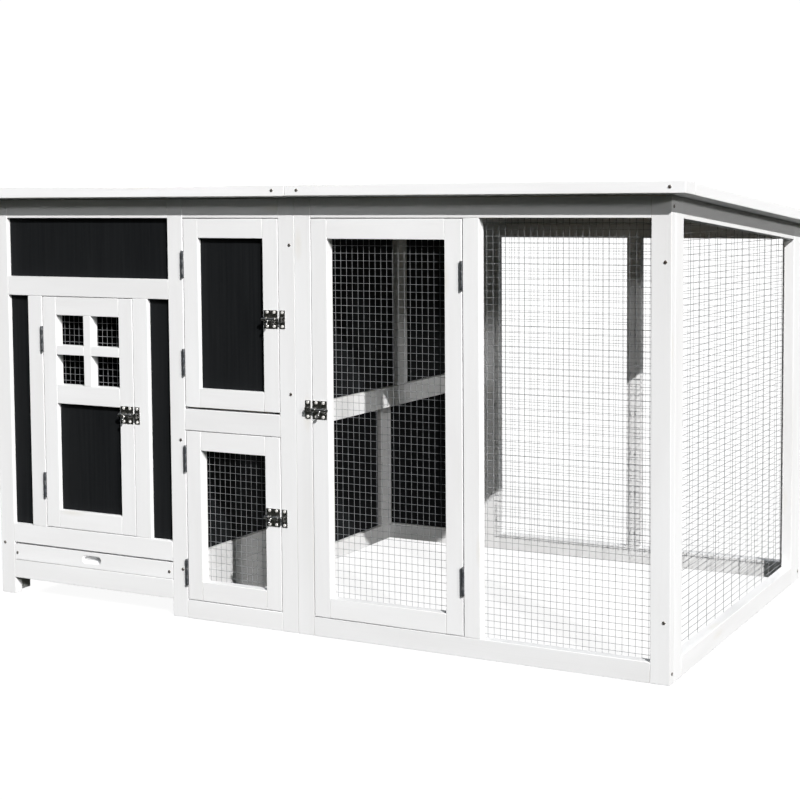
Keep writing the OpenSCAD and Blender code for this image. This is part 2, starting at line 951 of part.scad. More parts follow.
module door_frame(d) {
    z = [bottom_of(d), top_of(d)];
    color(white_paint)
        at_corner() {
            upright([left_of(d), open_x(d)[0]], z);
            upright([open_x(d)[1], right_of(d)], z);
            rail(open_x(d), [z[0], open_z(d)[0]]);
            rail(open_x(d), [open_z(d)[1], z[1]]);
        }
}

module door_panel(d) {
    color(black_board)
        at_corner()
            panel(open_x(d), open_z(d));
}

module door_mesh(d) {
    color(zinc)
        at_corner()
            mesh_behind(open_x(d), open_z(d));
}

// The house door's window: two rows of two panes over a middle rail
window_h = 2 * pane_h + muntin_w;
window_z = open_z(house_door)[1] - window_h;
lock_rail_z = window_z - lock_rail_h;

module house_door_frame() {
    x = open_x(house_door);
    mid = (x[0] + x[1]) / 2;
    half_bar = muntin_w / 2;
    bar_z = [window_z + pane_h, window_z + pane_h + muntin_w];
    door_frame(house_door);
    color(white_paint)
        at_corner() {
            rail(x, [lock_rail_z, window_z]);
            upright([mid - half_bar, mid + half_bar],
                [window_z + joint, window_z + window_h - joint]);
            rail([x[0], mid - half_bar], bar_z);
            rail([mid + half_bar, x[1]], bar_z);
        }
}

module house_door_panel() {
    color(black_board)
        at_corner()
            panel(open_x(house_door), [open_z(house_door)[0], lock_rail_z]);
}

module house_door_window_mesh() {
    color(zinc)
        at_corner()
            mesh_behind(open_x(house_door), [window_z, window_z + window_h]);
}

module house_door_hinge_leaves() {
    color(nickel)
        at_hinges(house_door)
            door_leaf();
}

module nest_door_hinge_leaves() {
    color(nickel)
        at_hinges(nest_door)
            door_leaf();
}

module pen_door_hinge_leaves() {
    color(nickel)
        at_hinges(pen_door)
            door_leaf();
}

module run_door_hinge_leaves() {
    color(nickel)
        at_hinges(run_door)
            door_leaf();
}

house_front_frame();
house_left_frame();
house_back_frame();
house_wall_frame();
nest_wall_frame();
run_front_frame();
run_side_frame();
run_back_frame();
house_front_panels();
house_left_panels();
house_back_panels();
house_wall_panels();
nest_wall_panels();
run_front_mesh();
run_side_mesh();
run_back_mesh();
tray_runners();
nest_floor();
nest_bearers();
perch();
perch_cradles();
house_roof_battens();
run_roof_battens();
roof_boards();
roof_felt();
frame_screws();
roof_screws();
hinge_frame_leaves();
hinge_pins();
latch_keepers();
keeper_screws();
tray_front();
tray_pan();
tray_screws();
house_door_frame();
house_door_panel();
house_door_window_mesh();
house_door_hinge_leaves();
latch_plate(house_door);  // house_door_latch_plate
latch_screws(house_door);  // house_door_latch_screws
bolt(house_door);  // house_door_bolt
door_frame(nest_door);  // nest_door_frame
door_panel(nest_door);  // nest_door_panel
nest_door_hinge_leaves();
latch_plate(nest_door);  // nest_door_latch_plate
latch_screws(nest_door);  // nest_door_latch_screws
bolt(nest_door);  // nest_door_bolt
door_frame(pen_door);  // pen_door_frame
door_mesh(pen_door);  // pen_door_mesh
pen_door_hinge_leaves();
latch_plate(pen_door);  // pen_door_latch_plate
latch_screws(pen_door);  // pen_door_latch_screws
bolt(pen_door);  // pen_door_bolt
door_frame(run_door);  // run_door_frame
door_mesh(run_door);  // run_door_mesh
run_door_hinge_leaves();
latch_plate(run_door);  // run_door_latch_plate
latch_screws(run_door);  // run_door_latch_screws
bolt(run_door);  // run_door_bolt
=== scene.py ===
"""Looks of a wooden chicken coop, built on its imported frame.

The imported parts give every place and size. This script eases the edges of the timbers, weaves
the welded wire, drives the screws and staples, lays the roofing felt and gives each surface its
own finish. All lengths are in metres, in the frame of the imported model.
"""

import json
import logging
import math
import random
from dataclasses import dataclass, field
from enum import Enum

import bmesh
import bpy
from mathutils import Matrix, Vector

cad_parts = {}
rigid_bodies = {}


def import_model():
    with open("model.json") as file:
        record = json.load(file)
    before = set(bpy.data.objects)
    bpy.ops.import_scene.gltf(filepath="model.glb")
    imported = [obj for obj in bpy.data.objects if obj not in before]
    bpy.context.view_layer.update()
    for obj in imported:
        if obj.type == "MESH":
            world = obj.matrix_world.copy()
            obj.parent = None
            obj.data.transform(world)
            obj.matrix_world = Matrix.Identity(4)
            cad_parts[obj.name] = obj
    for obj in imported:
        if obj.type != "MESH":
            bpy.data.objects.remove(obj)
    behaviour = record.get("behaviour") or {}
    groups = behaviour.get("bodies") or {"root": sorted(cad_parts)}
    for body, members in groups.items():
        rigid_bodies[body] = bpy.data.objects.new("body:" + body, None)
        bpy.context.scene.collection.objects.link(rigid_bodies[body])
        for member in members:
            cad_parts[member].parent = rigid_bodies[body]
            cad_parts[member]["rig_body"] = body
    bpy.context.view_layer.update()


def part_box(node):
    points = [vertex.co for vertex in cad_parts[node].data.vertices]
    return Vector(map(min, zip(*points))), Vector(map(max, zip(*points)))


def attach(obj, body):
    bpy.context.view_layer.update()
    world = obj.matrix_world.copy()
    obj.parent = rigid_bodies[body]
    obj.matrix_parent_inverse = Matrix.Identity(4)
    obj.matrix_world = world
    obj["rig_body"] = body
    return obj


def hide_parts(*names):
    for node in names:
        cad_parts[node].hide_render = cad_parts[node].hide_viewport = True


Colour = tuple[float, float, float, float]
Triple = tuple[float, float, float]
Socket = bpy.types.NodeSocket
BMesh = bmesh.types.BMesh
Faces = list[bmesh.types.BMFace]
Verts = list[bmesh.types.BMVert]

LOG = logging.getLogger("coop")
MM = 0.001
GRAIN_UV = "grain"
MARKS = "marks"
ROUNDED = "rounded"
SEED = 7


class Slot(Enum):
    """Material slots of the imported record."""

    WHITE_TIMBER = "white_timber"
    BLACK_BOARD = "black_board"
    BARE_WOOD = "bare_wood"
    WIRE = "galvanised_wire"
    NICKEL = "nickel_hardware"
    SCREW = "screw_heads"
    TRAY = "tray_metal"
    FELT = "roofing_felt"


class Look(Enum):
    """Finishes that share a slot with another finish."""

    DARK_STEEL = "dark_steel"
    # Latch screws whose near-white colour is partly zinc and partly painted reflection.
    PAINTED_REFLECTION_SCREW = "screw_painted_reflection"


class Way(Enum):
    """Outward direction of a round screw head."""

    FRONT = (0, -1, 0)
    BACK = (0, 1, 0)


# ---- Finishes ----


class Shading:
    """A material under construction: adds shader nodes and joins them."""

    def __init__(self, name: str) -> None:
        """Starts a material with a principled shader.

        Args:
            name: Name of the material.
        """
        self.material = bpy.data.materials.new(name)
        self.material.use_nodes = True
        self.tree = self.material.node_tree
        self.bsdf = self.tree.nodes["Principled BSDF"]

    def add(
        self, kind: str, inputs: dict[str | int, object] | None = None, **props: object
    ) -> bpy.types.Node:
        """Adds a node.

        Args:
            kind: Node type without the ShaderNode prefix.
            inputs: Values or output sockets by input name or number.
            **props: Properties set on the node.

        Returns:
            The new node.
        """
        node = self.tree.nodes.new("ShaderNode" + kind)
        for key, value in props.items():
            setattr(node, key, value)
        for key, value in (inputs or {}).items():
            self.put(node, key, value)
        return node

    def put(self, node: bpy.types.Node, key: str | int, value: object) -> None:
        """Sets or links one input of a node.

        Args:
            node: Node that owns the input.
            key: Name or number of the input.
            value: Value, or output socket to link.
        """
        if isinstance(value, Socket):
            self.tree.links.new(value, node.inputs[key])
        else:
            node.inputs[key].default_value = value

    def surface(self, **inputs: object) -> None:
        """Sets the shader's own sockets; underscores stand for spaces."""
        for key, value in inputs.items():
            self.put(self.bsdf, key.replace("_", " "), value)

    def spread(self, source: str, scale: Triple) -> Socket:
        """Scaled pattern coordinates.

        Args:
            source: "UV" along the grain, or "Object".
            scale: Repeats per metre along each axis.

        Returns:
            A vector socket.
        """
        coords = self.add("TexCoord")
        mapping = self.add("Mapping", {"Vector": coords.outputs[source], "Scale": scale})
        return mapping.outputs[0]

    def noise(self, vector: Socket, detail: float = 4.0, warp: float = 0.0) -> Socket:
        """A noise value on given coordinates.

        Args:
            vector: Pattern coordinates.
            detail: Number of finer layers.
            warp: Distortion of the pattern.

        Returns:
            A value socket.
        """
        settings = {"Scale": 1.0, "Detail": detail, "Roughness": 0.55, "Distortion": warp}
        return self.add("TexNoise", {"Vector": vector, **settings}).outputs["Fac"]

    def clouds(self, repeats: float, detail: float) -> Socket:
        """Even noise through the piece, in repeats per metre."""
        return self.noise(self.spread("Object", (repeats,) * 3), detail=detail)

    def cells(self, source: str, scale: Triple) -> bpy.types.Node:
        """A pattern of cells, with Distance and Color outputs."""
        return self.add("TexVoronoi", {"Vector": self.spread(source, scale), "Scale": 1.0})

    def channel(self, colour: Socket, number: int) -> Socket:
        """One channel of a colour."""
        return self.add("SeparateColor", {0: colour}).outputs[number]

    def ramp(
        self, value: Socket, low: float, high: float, start: float = 0.0, end: float = 1.0
    ) -> Socket:
        """Maps low..high to start..end, held at the ends."""
        return self.add("MapRange", {0: value, 1: low, 2: high, 3: start, 4: end}).outputs[0]

    def mix(
        self, amount: Socket | float, first: object, second: object, blend: str = "MIX"
    ) -> Socket:
        """Mixes two colours."""
        inputs = {0: amount, 6: first, 7: second}
        return self.add("Mix", inputs, data_type="RGBA", blend_type=blend).outputs[2]

    def times(self, first: Socket, second: Socket) -> Socket:
        """The product of two values."""
        return self.add("Math", {0: first, 1: second}, operation="MULTIPLY").outputs[0]

    def bump(
        self, height: Socket, strength: float, distance: float, under: Socket | None = None
    ) -> Socket:
        """A bump normal.

        Args:
            height: Height of the pattern.
            strength: Strength of the bump.
            distance: Depth of the bump.
            under: Coarser bump below this one.

        Returns:
            A normal socket.
        """
        node = self.add("Bump", {"Height": height, "Strength": strength, "Distance": distance})
        if under is not None:
            self.put(node, "Normal", under)
        return node.outputs[0]

    def marks(self) -> bpy.types.Node:
        """The piece's own marks: red is an eased edge, green its tone, blue an end cut."""
        attribute = self.add("Attribute", attribute_name=MARKS)
        return self.add("SeparateColor", {0: attribute.outputs["Color"]})


@dataclass(frozen=True)
class Finish:
    """One finish of the coop."""

    name: str = "finish"

    def build(self) -> bpy.types.Material:
        """Makes the material.

        Returns:
            The material, dressed with the finish's own nodes.
        """
        s = Shading(self.name)
        self.dress(s)
        return s.material

    def dress(self, s: Shading) -> None:
        """Adds the finish's own nodes; each finish has its own."""
        raise NotImplementedError


@dataclass(frozen=True)
class PaintedTimber(Finish):
    """White satin paint on planed softwood: faint grain, knots, thin paint at the edges."""

    name: str = "white_painted_timber"
    paint: Colour = (0.86, 0.865, 0.875, 1.0)
    shade: Colour = (0.79, 0.79, 0.795, 1.0)
    knot: Colour = (0.70, 0.66, 0.57, 1.0)
    worn: Colour = (0.60, 0.58, 0.54, 1.0)
    grain_scale: Triple = (5.0, 260.0, 1.0)
    broad_scale: Triple = (2.2, 14.0, 1.0)
    fine_scale: Triple = (90.0, 1400.0, 1.0)
    knot_scale: Triple = (2.3, 9.0, 1.0)
    grain_depth: float = 0.5 * MM
    fine_depth: float = 0.2 * MM

    def dress(self, s: Shading) -> None:
        """Adds the paint, its grain and knots, and the thin paint at edges and end cuts.

        Args:
            s: Material under construction.
        """
        edge, tone, end_cut = s.marks().outputs[:3]
        grain = s.noise(s.spread("UV", self.grain_scale), detail=5.0, warp=0.5)
        broad = s.noise(s.spread("UV", self.broad_scale), detail=3.0)
        fine = s.noise(s.spread("UV", self.fine_scale), detail=2.0)
        knots = s.cells("UV", self.knot_scale)
        knot = s.ramp(knots.outputs["Distance"], 0.03, 0.10, 0.35, 0.0)
        open_end = s.times(end_cut, s.ramp(fine, 0.35, 0.7, 0.1, 0.6))
        worn_edge = s.times(edge, s.ramp(broad, 0.52, 0.70, 0.0, 0.7))
        colour = s.mix(s.ramp(broad, 0.3, 0.75), self.paint, self.shade)
        colour = s.mix(s.ramp(grain, 0.56, 0.78, 0.0, 0.35), colour, self.shade)
        colour = s.mix(knot, colour, self.knot)
        colour = s.mix(open_end, colour, self.shade)
        colour = s.mix(worn_edge, colour, self.worn)
        colour = s.mix(1.0, colour, tone, "MULTIPLY")
        coarse = s.bump(grain, 0.35, self.grain_depth)
        s.surface(
            Base_Color=colour,
            Roughness=s.ramp(grain, 0.3, 0.8, 0.34, 0.52),
            Coat_Weight=0.12,
            Coat_Roughness=0.3,
            Normal=s.bump(fine, 0.12, self.fine_depth, coarse),
        )


@dataclass(frozen=True)
class StainedBoard(Finish):
    """Charcoal stain on thin plywood: open grain, matte, dust on the ribs."""

    name: str = "charcoal_board"
    stain: Colour = (0.0055, 0.0062, 0.0072, 1.0)
    rib: Colour = (0.0095, 0.0105, 0.0115, 1.0)
    grain_scale: Triple = (4.0, 170.0, 1.0)
    cloud_scale: Triple = (3.0, 5.0, 1.0)
    pore_scale: Triple = (60.0, 1500.0, 1.0)
    grain_depth: float = 0.6 * MM
    pore_depth: float = 0.3 * MM

    def dress(self, s: Shading) -> None:
        """Adds the stain, its grain and its dusty clouds.

        Args:
            s: Material under construction.
        """
        grain = s.noise(s.spread("UV", self.grain_scale), detail=6.0, warp=0.8)
        cloud = s.noise(s.spread("UV", self.cloud_scale), detail=3.0)
        pore = s.noise(s.spread("UV", self.pore_scale), detail=2.0)
        colour = s.mix(s.ramp(grain, 0.35, 0.7), self.stain, self.rib)
        colour = s.mix(s.ramp(cloud, 0.4, 0.75, 0.0, 0.5), colour, self.rib)
        coarse = s.bump(grain, 0.5, self.grain_depth)
        s.surface(
            Base_Color=colour,
            Roughness=s.ramp(cloud, 0.3, 0.7, 0.62, 0.78),
            Specular_IOR_Level=0.12,
            Normal=s.bump(pore, 0.3, self.pore_depth, coarse),
        )


@dataclass(frozen=True)
class BareTimber(Finish):
    """Unpainted spruce and plywood: growth rings, knots and a little darkening."""

    name: str = "bare_spruce"
    early: Colour = (0.62, 0.45, 0.27, 1.0)
    late: Colour = (0.42, 0.27, 0.14, 1.0)
    knot: Colour = (0.20, 0.11, 0.05, 1.0)
    ring_scale: Triple = (1.2, 38.0, 1.0)
    fibre_scale: Triple = (14.0, 600.0, 1.0)
    knot_scale: Triple = (2.6, 11.0, 1.0)
    fibre_depth: float = 0.4 * MM

    def dress(self, s: Shading) -> None:
        """Adds the rings, the fibre and the knots.

        Args:
            s: Material under construction.
        """
        tone = s.marks().outputs[1]
        bend = {"Scale": 1.0, "Distortion": 9.0, "Detail": 3.0, "Detail Scale": 1.2}
        lines = {"Vector": s.spread("UV", self.ring_scale), **bend}
        rings = s.add("TexWave", lines, bands_direction="Y")
        fibre = s.noise(s.spread("UV", self.fibre_scale), detail=4.0)
        knots = s.cells("UV", self.knot_scale)
        knot = s.ramp(knots.outputs["Distance"], 0.04, 0.12, 0.9, 0.0)
        colour = s.mix(s.ramp(rings.outputs["Fac"], 0.35, 0.95, 0.0, 0.8), self.early, self.late)
        colour = s.mix(s.ramp(fibre, 0.45, 0.8, 0.0, 0.35), colour, self.late)
        colour = s.mix(knot, colour, self.knot)
        colour = s.mix(1.0, colour, tone, "MULTIPLY")
        s.surface(
            Base_Color=colour,
            Roughness=s.ramp(fibre, 0.3, 0.7, 0.58, 0.74),
            Normal=s.bump(fibre, 0.35, self.fibre_depth),
        )


@dataclass(frozen=True)
class ZincWire(Finish):
    """Hot-dipped wire: soft grey with spangle and dull runs."""

    name: str = "galvanised_wire"
    bright: Colour = (0.40, 0.41, 0.43, 1.0)
    dull: Colour = (0.20, 0.21, 0.22, 1.0)
    runs: float = 130.0
    run_depth: float = 0.2 * MM

    def dress(self, s: Shading) -> None:
        """Adds the zinc and its dull runs.

        Args:
            s: Material under construction.
        """
        runs = s.clouds(self.runs, 3.0)
        s.surface(
            Base_Color=s.mix(s.ramp(runs, 0.35, 0.7), self.bright, self.dull),
            Metallic=0.55,
            Roughness=s.ramp(runs, 0.3, 0.7, 0.36, 0.55),
            Normal=s.bump(runs, 0.3, self.run_depth),
        )


@dataclass(frozen=True)
class NickelPlate(Finish):
    """Bright nickel on pressed steel: fine rolling lines and darker pores."""

    name: str = "nickel_plate"
    bright: Colour = (0.40, 0.395, 0.385, 1.0)
    dark: Colour = (0.13, 0.13, 0.125, 1.0)
    pores: float = 160.0
    line_scale: Triple = (2500.0, 300.0, 300.0)
    line_depth: float = 0.1 * MM

    def dress(self, s: Shading) -> None:
        """Adds the plate, its pores and its rolling lines.

        Args:
            s: Material under construction.
        """
        pores = s.clouds(self.pores, 4.0)
        lines = s.noise(s.spread("Object", self.line_scale), detail=2.0)
        s.surface(
            Base_Color=s.mix(s.ramp(pores, 0.5, 0.8, 0.0, 0.8), self.bright, self.dark),
            Metallic=1.0,
            Roughness=s.ramp(pores, 0.3, 0.75, 0.2, 0.42),
            Normal=s.bump(lines, 0.15, self.line_depth),
        )


@dataclass(frozen=True)
class DarkSteel(Finish):
    """Dull dark plating of the hinges, worn lighter in places."""

    name: str = "dark_hinge_steel"
    plate: Colour = (0.055, 0.06, 0.068, 1.0)
    worn: Colour = (0.22, 0.22, 0.22, 1.0)
    wear_scale: Triple = (210.0, 210.0, 120.0)
    grain: float = 1800.0
    grain_depth: float = 0.1 * MM

    def dress(self, s: Shading) -> None:
        """Adds the plating and its wear.

        Args:
            s: Material under construction.
        """
        wear = s.noise(s.spread("Object", self.wear_scale), detail=4.0)
        grain = s.clouds(self.grain, 2.0)
        s.surface(
            Base_Color=s.mix(s.ramp(wear, 0.5, 0.72, 0.0, 0.7), self.plate, self.worn),
            Metallic=0.6,
            Roughness=s.ramp(wear, 0.3, 0.75, 0.42, 0.6),
            Normal=s.bump(grain, 0.15, self.grain_depth),
        )


@dataclass(frozen=True)
class ZincScrewPaintedReflection(Finish):
    """Zinc heads of the small latch screws, with duller specks; their near-white colour is partly
    zinc and partly painted reflection.
    """

    name: str = "screw_painted_reflection"
    # face: near-white, partly the zinc's own colour and partly painted reflection in place of the
    # metal's mirror shine.
    face: Colour = (0.82, 0.81, 0.79, 1.0)
    speck: Colour = (0.52, 0.51, 0.49, 1.0)
    spots: float = 500.0
    spot_depth: float = 0.1 * MM

    def dress(self, s: Shading) -> None:
        """Adds the zinc, with its painted reflection, and its specks.

        Args:
            s: Material under construction.
        """
        spots = s.clouds(self.spots, 3.0)
        s.surface(
            Base_Color=s.mix(s.ramp(spots, 0.5, 0.72), self.face, self.speck),
            Metallic=0.25,
            Roughness=s.ramp(spots, 0.3, 0.7, 0.3, 0.45),
            Normal=s.bump(spots, 0.15, self.spot_depth),
        )


@dataclass(frozen=True)
class ScrewMetal(Finish):
    """Zinc plated screw heads and nails, browned in patches."""

    name: str = "screw_metal"
    face: Colour = (0.36, 0.35, 0.34, 1.0)
    stain: Colour = (0.12, 0.085, 0.06, 1.0)
    spots: float = 420.0
    spot_depth: float = 0.2 * MM

    def dress(self, s: Shading) -> None:
        """Adds the plating and its brown patches.

        Args:
            s: Material under construction.
        """
        spots = s.clouds(self.spots, 3.0)
        s.surface(
            Base_Color=s.mix(s.ramp(spots, 0.42, 0.6), self.face, self.stain),
            Metallic=0.8,
            Roughness=s.ramp(spots, 0.3, 0.7, 0.3, 0.6),
            Normal=s.bump(spots, 0.2, self.spot_depth),
        )


@dataclass(frozen=True)
class TraySheet(Finish):
    """Galvanised sheet with large spangle."""

    name: str = "tray_sheet"
    light: Colour = (0.60, 0.62, 0.64, 1.0)
    dark: Colour = (0.42, 0.44, 0.47, 1.0)
    spangle: float = 70.0
    spangle_depth: float = 0.2 * MM

    def dress(self, s: Shading) -> None:
        """Adds the sheet and its spangle.

        Args:
            s: Material under construction.
        """
        tint = s.channel(s.cells("Object", (self.spangle,) * 3).outputs["Color"], 0)
        s.surface(
            Base_Color=s.mix(tint, self.light, self.dark),
            Metallic=0.75,
            Roughness=s.ramp(tint, 0.0, 1.0, 0.32, 0.5),
            Normal=s.bump(tint, 0.08, self.spangle_depth),
        )


@dataclass(frozen=True)
class RoofingFelt(Finish):
    """Green-grey mineral felt: packed granules on bitumen."""

    name: str = "mineral_felt"
    bitumen: Colour = (0.012, 0.013, 0.013, 1.0)
    granule: Colour = (0.075, 0.085, 0.08, 1.0)
    grit: float = 620.0
    patches: float = 6.0
    grit_depth: float = 1.2 * MM

    def dress(self, s: Shading) -> None:
        """Adds the bitumen and its granules.

        Args:
            s: Material under construction.
        """
        grit = s.cells("Object", (self.grit,) * 3)
        tint = s.channel(grit.outputs["Color"], 1)
        patch = s.ramp(s.clouds(self.patches, 5.0), 0.3, 0.7, 0.55, 1.0)
        s.surface(
            Base_Color=s.mix(s.times(tint, patch), self.bitumen, self.granule),
            Roughness=0.93,
            Normal=s.bump(grit.outputs["Distance"], 0.6, self.grit_depth),
        )


class Finishes:
    """Every finish, made once and handed out by slot."""

    def __init__(self) -> None:
        """Builds the materials."""
        makers = {
            Slot.WHITE_TIMBER: PaintedTimber(),
            Slot.BLACK_BOARD: StainedBoard(),
            Slot.BARE_WOOD: BareTimber(),
            Slot.WIRE: ZincWire(),
            Slot.NICKEL: NickelPlate(),
            Slot.SCREW: ScrewMetal(),
            Slot.TRAY: TraySheet(),
            Slot.FELT: RoofingFelt(),
            Look.DARK_STEEL: DarkSteel(),
            Look.PAINTED_REFLECTION_SCREW: ZincScrewPaintedReflection(),
        }
        self.made = {key: maker.build() for key, maker in makers.items()}

    def of(self, key: Slot | Look) -> bpy.types.Material:
        """Returns the finish of a slot, or one that shares a slot."""
        return self.made[key]


# ---- Mesh helpers ----


def islands(bm: BMesh) -> list[Faces]:
    """Splits a mesh into its separate solids.

    Args:
        bm: Mesh to look through.

    Returns:
        The faces of each solid, in a steady order.
    """
    seen, groups = set(), []
    for face in bm.faces:
        if face in seen:
            continue
        seen.add(face)
        stack, group = [face], []
        while stack:
            current = stack.pop()
            group.append(current)
            for edge in current.edges:
                for other in edge.link_faces:
                    if other not in seen:
                        seen.add(other)
                        stack.append(other)
        groups.append(group)
    return groups


def extent(faces: Faces) -> tuple[Vector, Vector]:
    """Measures some faces.

    Args:
        faces: Faces to measure.

    Returns:
        Their lowest and highest corner.
    """
    points = [v.co for f in faces for v in f.verts]
    low = Vector([min(p[i] for p in points) for i in range(3)])
    high = Vector([max(p[i] for p in points) for i in range(3)])
    return low, high


def thin_axis(size: Vector) -> int:
    """The axis along which a box is thinnest."""
    return min(range(3), key=lambda i: size[i])


def verts_in(geometry: list[object]) -> Verts:
    """The vertices among an operator's new geometry."""
    return [g for g in geometry if isinstance(g, bmesh.types.BMVert)]


def merged_copy(node: str, merge: float = 2e-6, flat: float = 0.8) -> BMesh:
    """A joined-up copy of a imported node's mesh, its flat faces whole again.

    Args:
        node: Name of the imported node.
        merge: Vertices nearer than this become one.
        flat: Faces that turn by less than this many degrees become one.

    Returns:
        The copy as a new bmesh.
    """
    bm = bmesh.new()
    bm.from_mesh(bpy.data.objects[node].data)
    bmesh.ops.remove_doubles(bm, verts=bm.verts, dist=merge)
    angle = math.radians(flat)
    bmesh.ops.dissolve_limit(bm, angle_limit=angle, verts=bm.verts, edges=bm.edges)
    return bm


def ease(bm: BMesh, offset: float, sharp: float = 32.0, flat: float = 1.5) -> Faces:
    """Rounds every sharp edge in two steps.

    Args:
        bm: Mesh to work on.
        offset: Width taken off each side of an edge.
        sharp: Edges that turn by more than this many degrees are eased.
        flat: Faces that turn by more than this but less than sharp are round already.

    Returns:
        The new faces along the edges.
    """
    limit = math.radians(sharp)
    rounded = bm.faces.layers.int.new(ROUNDED)
    shared = [e for e in bm.edges if len(e.link_faces) == 2]
    for edge in shared:
        if math.radians(flat) < edge.calc_face_angle(0.0) < limit:
            for face in edge.link_faces:
                face[rounded] = 1
    made = bmesh.ops.bevel(
        bm,
        geom=[e for e in shared if e.calc_face_angle(0.0) > limit],
        offset=offset,
        offset_type="OFFSET",
        segments=2,
        profile=0.5,
        affect="EDGES",
        clamp_overlap=True,
        material=-1,
    )
    for face in made["faces"]:
        face[rounded] = 1
    return made["faces"]


def lay_grain(
    bm: BMesh,
    edge_faces: Faces,
    rng: random.Random,
    spread: float,
    along: int | None = None,
    shift_range: float = 9.0,
    end_stretch: float = 3.0,
    side_step: float = 0.37,
    end_facing: float = 0.7,
) -> None:
    """Lays grain coordinates along each timber, and marks its edges, tone and end cuts.

    Args:
        bm: Mesh of one or more timbers.
        edge_faces: Faces of the eased edges.
        rng: Seeded numbers.
        spread: Largest darkening of one timber against another.
        along: Axis of the grain, or none for each timber's longest side.
        shift_range: How far the pattern of a timber is moved, at most.
        end_stretch: Stretch of the pattern on end cuts.
        side_step: Shift of the pattern between the sides of a timber.
        end_facing: Faces whose normal lies along the grain by more than this are end cuts.
    """
    uv = bm.loops.layers.uv.new(GRAIN_UV)
    marks = bm.loops.layers.float_color.new(MARKS)
    eased = set(edge_faces)
    for group in islands(bm):
        low, high = extent(group)
        size = high - low
        axis = along if along is not None else max(range(3), key=lambda i: size[i])
        others = [i for i in range(3) if i != axis]
        shift = Vector((rng.uniform(0, shift_range), rng.uniform(0, shift_range)))
        tone = 1.0 - rng.uniform(0.0, spread)
        for face in group:
            normal = face.normal
            is_end = abs(normal[axis]) > end_facing
            across = min(others, key=lambda i: abs(normal[i]))
            mark = (1.0 if face in eased else 0.0, tone, 1.0 if is_end else 0.0, 1.0)
            for loop in face.loops:
                co = loop.vert.co
                u, v = co[axis], co[across]
                if is_end:
                    u, v = co[others[0]] * end_stretch, co[others[1]]
                loop[uv].uv = (u + shift[0], v + shift[1] + side_step * across)
                loop[marks] = mark


def finish_mesh(bm: BMesh, name: str, smooth_below: float = 40.0) -> bpy.types.Object:
    """Turns a bmesh into an object at the origin, smooth but for its sharp edges.

    Args:
        bm: Mesh, freed afterwards.
        name: Name of the piece.
        smooth_below: Edges that turn by more than this many degrees stay sharp.

    Returns:
        The new object.
    """
    limit = math.radians(smooth_below)
    rounded = bm.faces.layers.int.get(ROUNDED)
    for face in bm.faces:
        face.smooth = rounded is None or face[rounded] == 1
    for edge in bm.edges:
        edge.smooth = len(edge.link_faces) == 2 and edge.calc_face_angle(0.0) < limit
    made = bpy.data.objects.new(name, template(bm, name))
    bpy.context.scene.collection.objects.link(made)
    return made


def template(bm: BMesh, name: str) -> bpy.types.Mesh:
    """Keeps a bmesh as a mesh, to show or to stamp copies from.

    Args:
        bm: Mesh, freed afterwards.
        name: Name of the mesh.

    Returns:
        The mesh.
    """
    mesh = bpy.data.meshes.new(name)
    bm.to_mesh(mesh)
    bm.free()
    return mesh


def stamp(bm: BMesh, mesh: bpy.types.Mesh, place: Matrix) -> Verts:
    """Adds a placed copy of a mesh.

    Args:
        bm: Mesh that takes the copy.
        mesh: Mesh to copy.
        place: Where it goes.

    Returns:
        The vertices of the copy.
    """
    before = len(bm.verts)
    bm.from_mesh(mesh)
    bm.verts.ensure_lookup_table()
    fresh = bm.verts[before:]
    bmesh.ops.transform(bm, matrix=place, verts=fresh)
    return fresh


def facing(way: Vector, at: Vector) -> Matrix:
    """A placement that turns +Z to a direction and moves to a point."""
    return Matrix.Translation(at) @ way.to_track_quat("Z", "Y").to_matrix().to_4x4()


# ---- Shared work ----


@dataclass
class Workshop:
    """Puts finished pieces on their bodies, in their slots, with their finish."""

    finishes: Finishes
    rng: random.Random = field(default_factory=lambda: random.Random(SEED))

    def hand_in(
        self,
        piece: bpy.types.Object,
        body: str,
        slot: Slot,
        nodes: list[str],
        look: Look | None = None,
    ) -> bpy.types.Object:
        """Dresses a piece and attaches it.

        Args:
            piece: Finished object at the origin.
            body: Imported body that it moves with.
            slot: Slot of its finish.
            nodes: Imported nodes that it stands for.
            look: Finish, where it isn't the slot's own.

        Returns:
            The piece.
        """
        piece.data.materials.clear()
        piece.data.materials.append(self.finishes.of(look or slot))
        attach(piece, body)
        if nodes:
            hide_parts(*nodes)
        LOG.info("%s on %s: %d faces", piece.name, body, len(piece.data.polygons))
        return piece

    def body_of(self, node: str) -> str:
        """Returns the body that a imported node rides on."""
        return bpy.data.objects[node]["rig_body"]

    def timber(
        self,
        node: str,
        piece: str,
        slot: Slot = Slot.WHITE_TIMBER,
        offset: float = 0.9 * MM,
        spread: float = 0.05,
        along: int | None = None,
    ) -> bpy.types.Object:
        """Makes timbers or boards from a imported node: eased edges and grain.

        Args:
            node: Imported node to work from.
            piece: Name of the new piece.
            slot: Slot of its finish.
            offset: Width of the eased edge.
            spread: Largest darkening of one timber against another.
            along: Axis of the grain, or none for the longest side.

        Returns:
            The piece.
        """
        bm = merged_copy(node)
        edge_faces = ease(bm, offset)
        lay_grain(bm, edge_faces, self.rng, spread, along)
        return self.hand_in(finish_mesh(bm, piece), self.body_of(node), slot, [node])

    def fitting(
        self,
        node: str,
        piece: str,
        slot: Slot = Slot.NICKEL,
        offset: float = 0.25 * MM,
        look: Look | None = None,
    ) -> bpy.types.Object:
        """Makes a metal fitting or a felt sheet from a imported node, its edges broken.

        Args:
            node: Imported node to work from.
            piece: Name of the new piece.
            slot: Slot of its finish.
            offset: Width of the broken edge.
            look: Finish, where it isn't the slot's own.

        Returns:
            The piece.
        """
        bm = merged_copy(node)
        ease(bm, offset)
        return self.hand_in(finish_mesh(bm, piece), self.body_of(node), slot, [node], look)


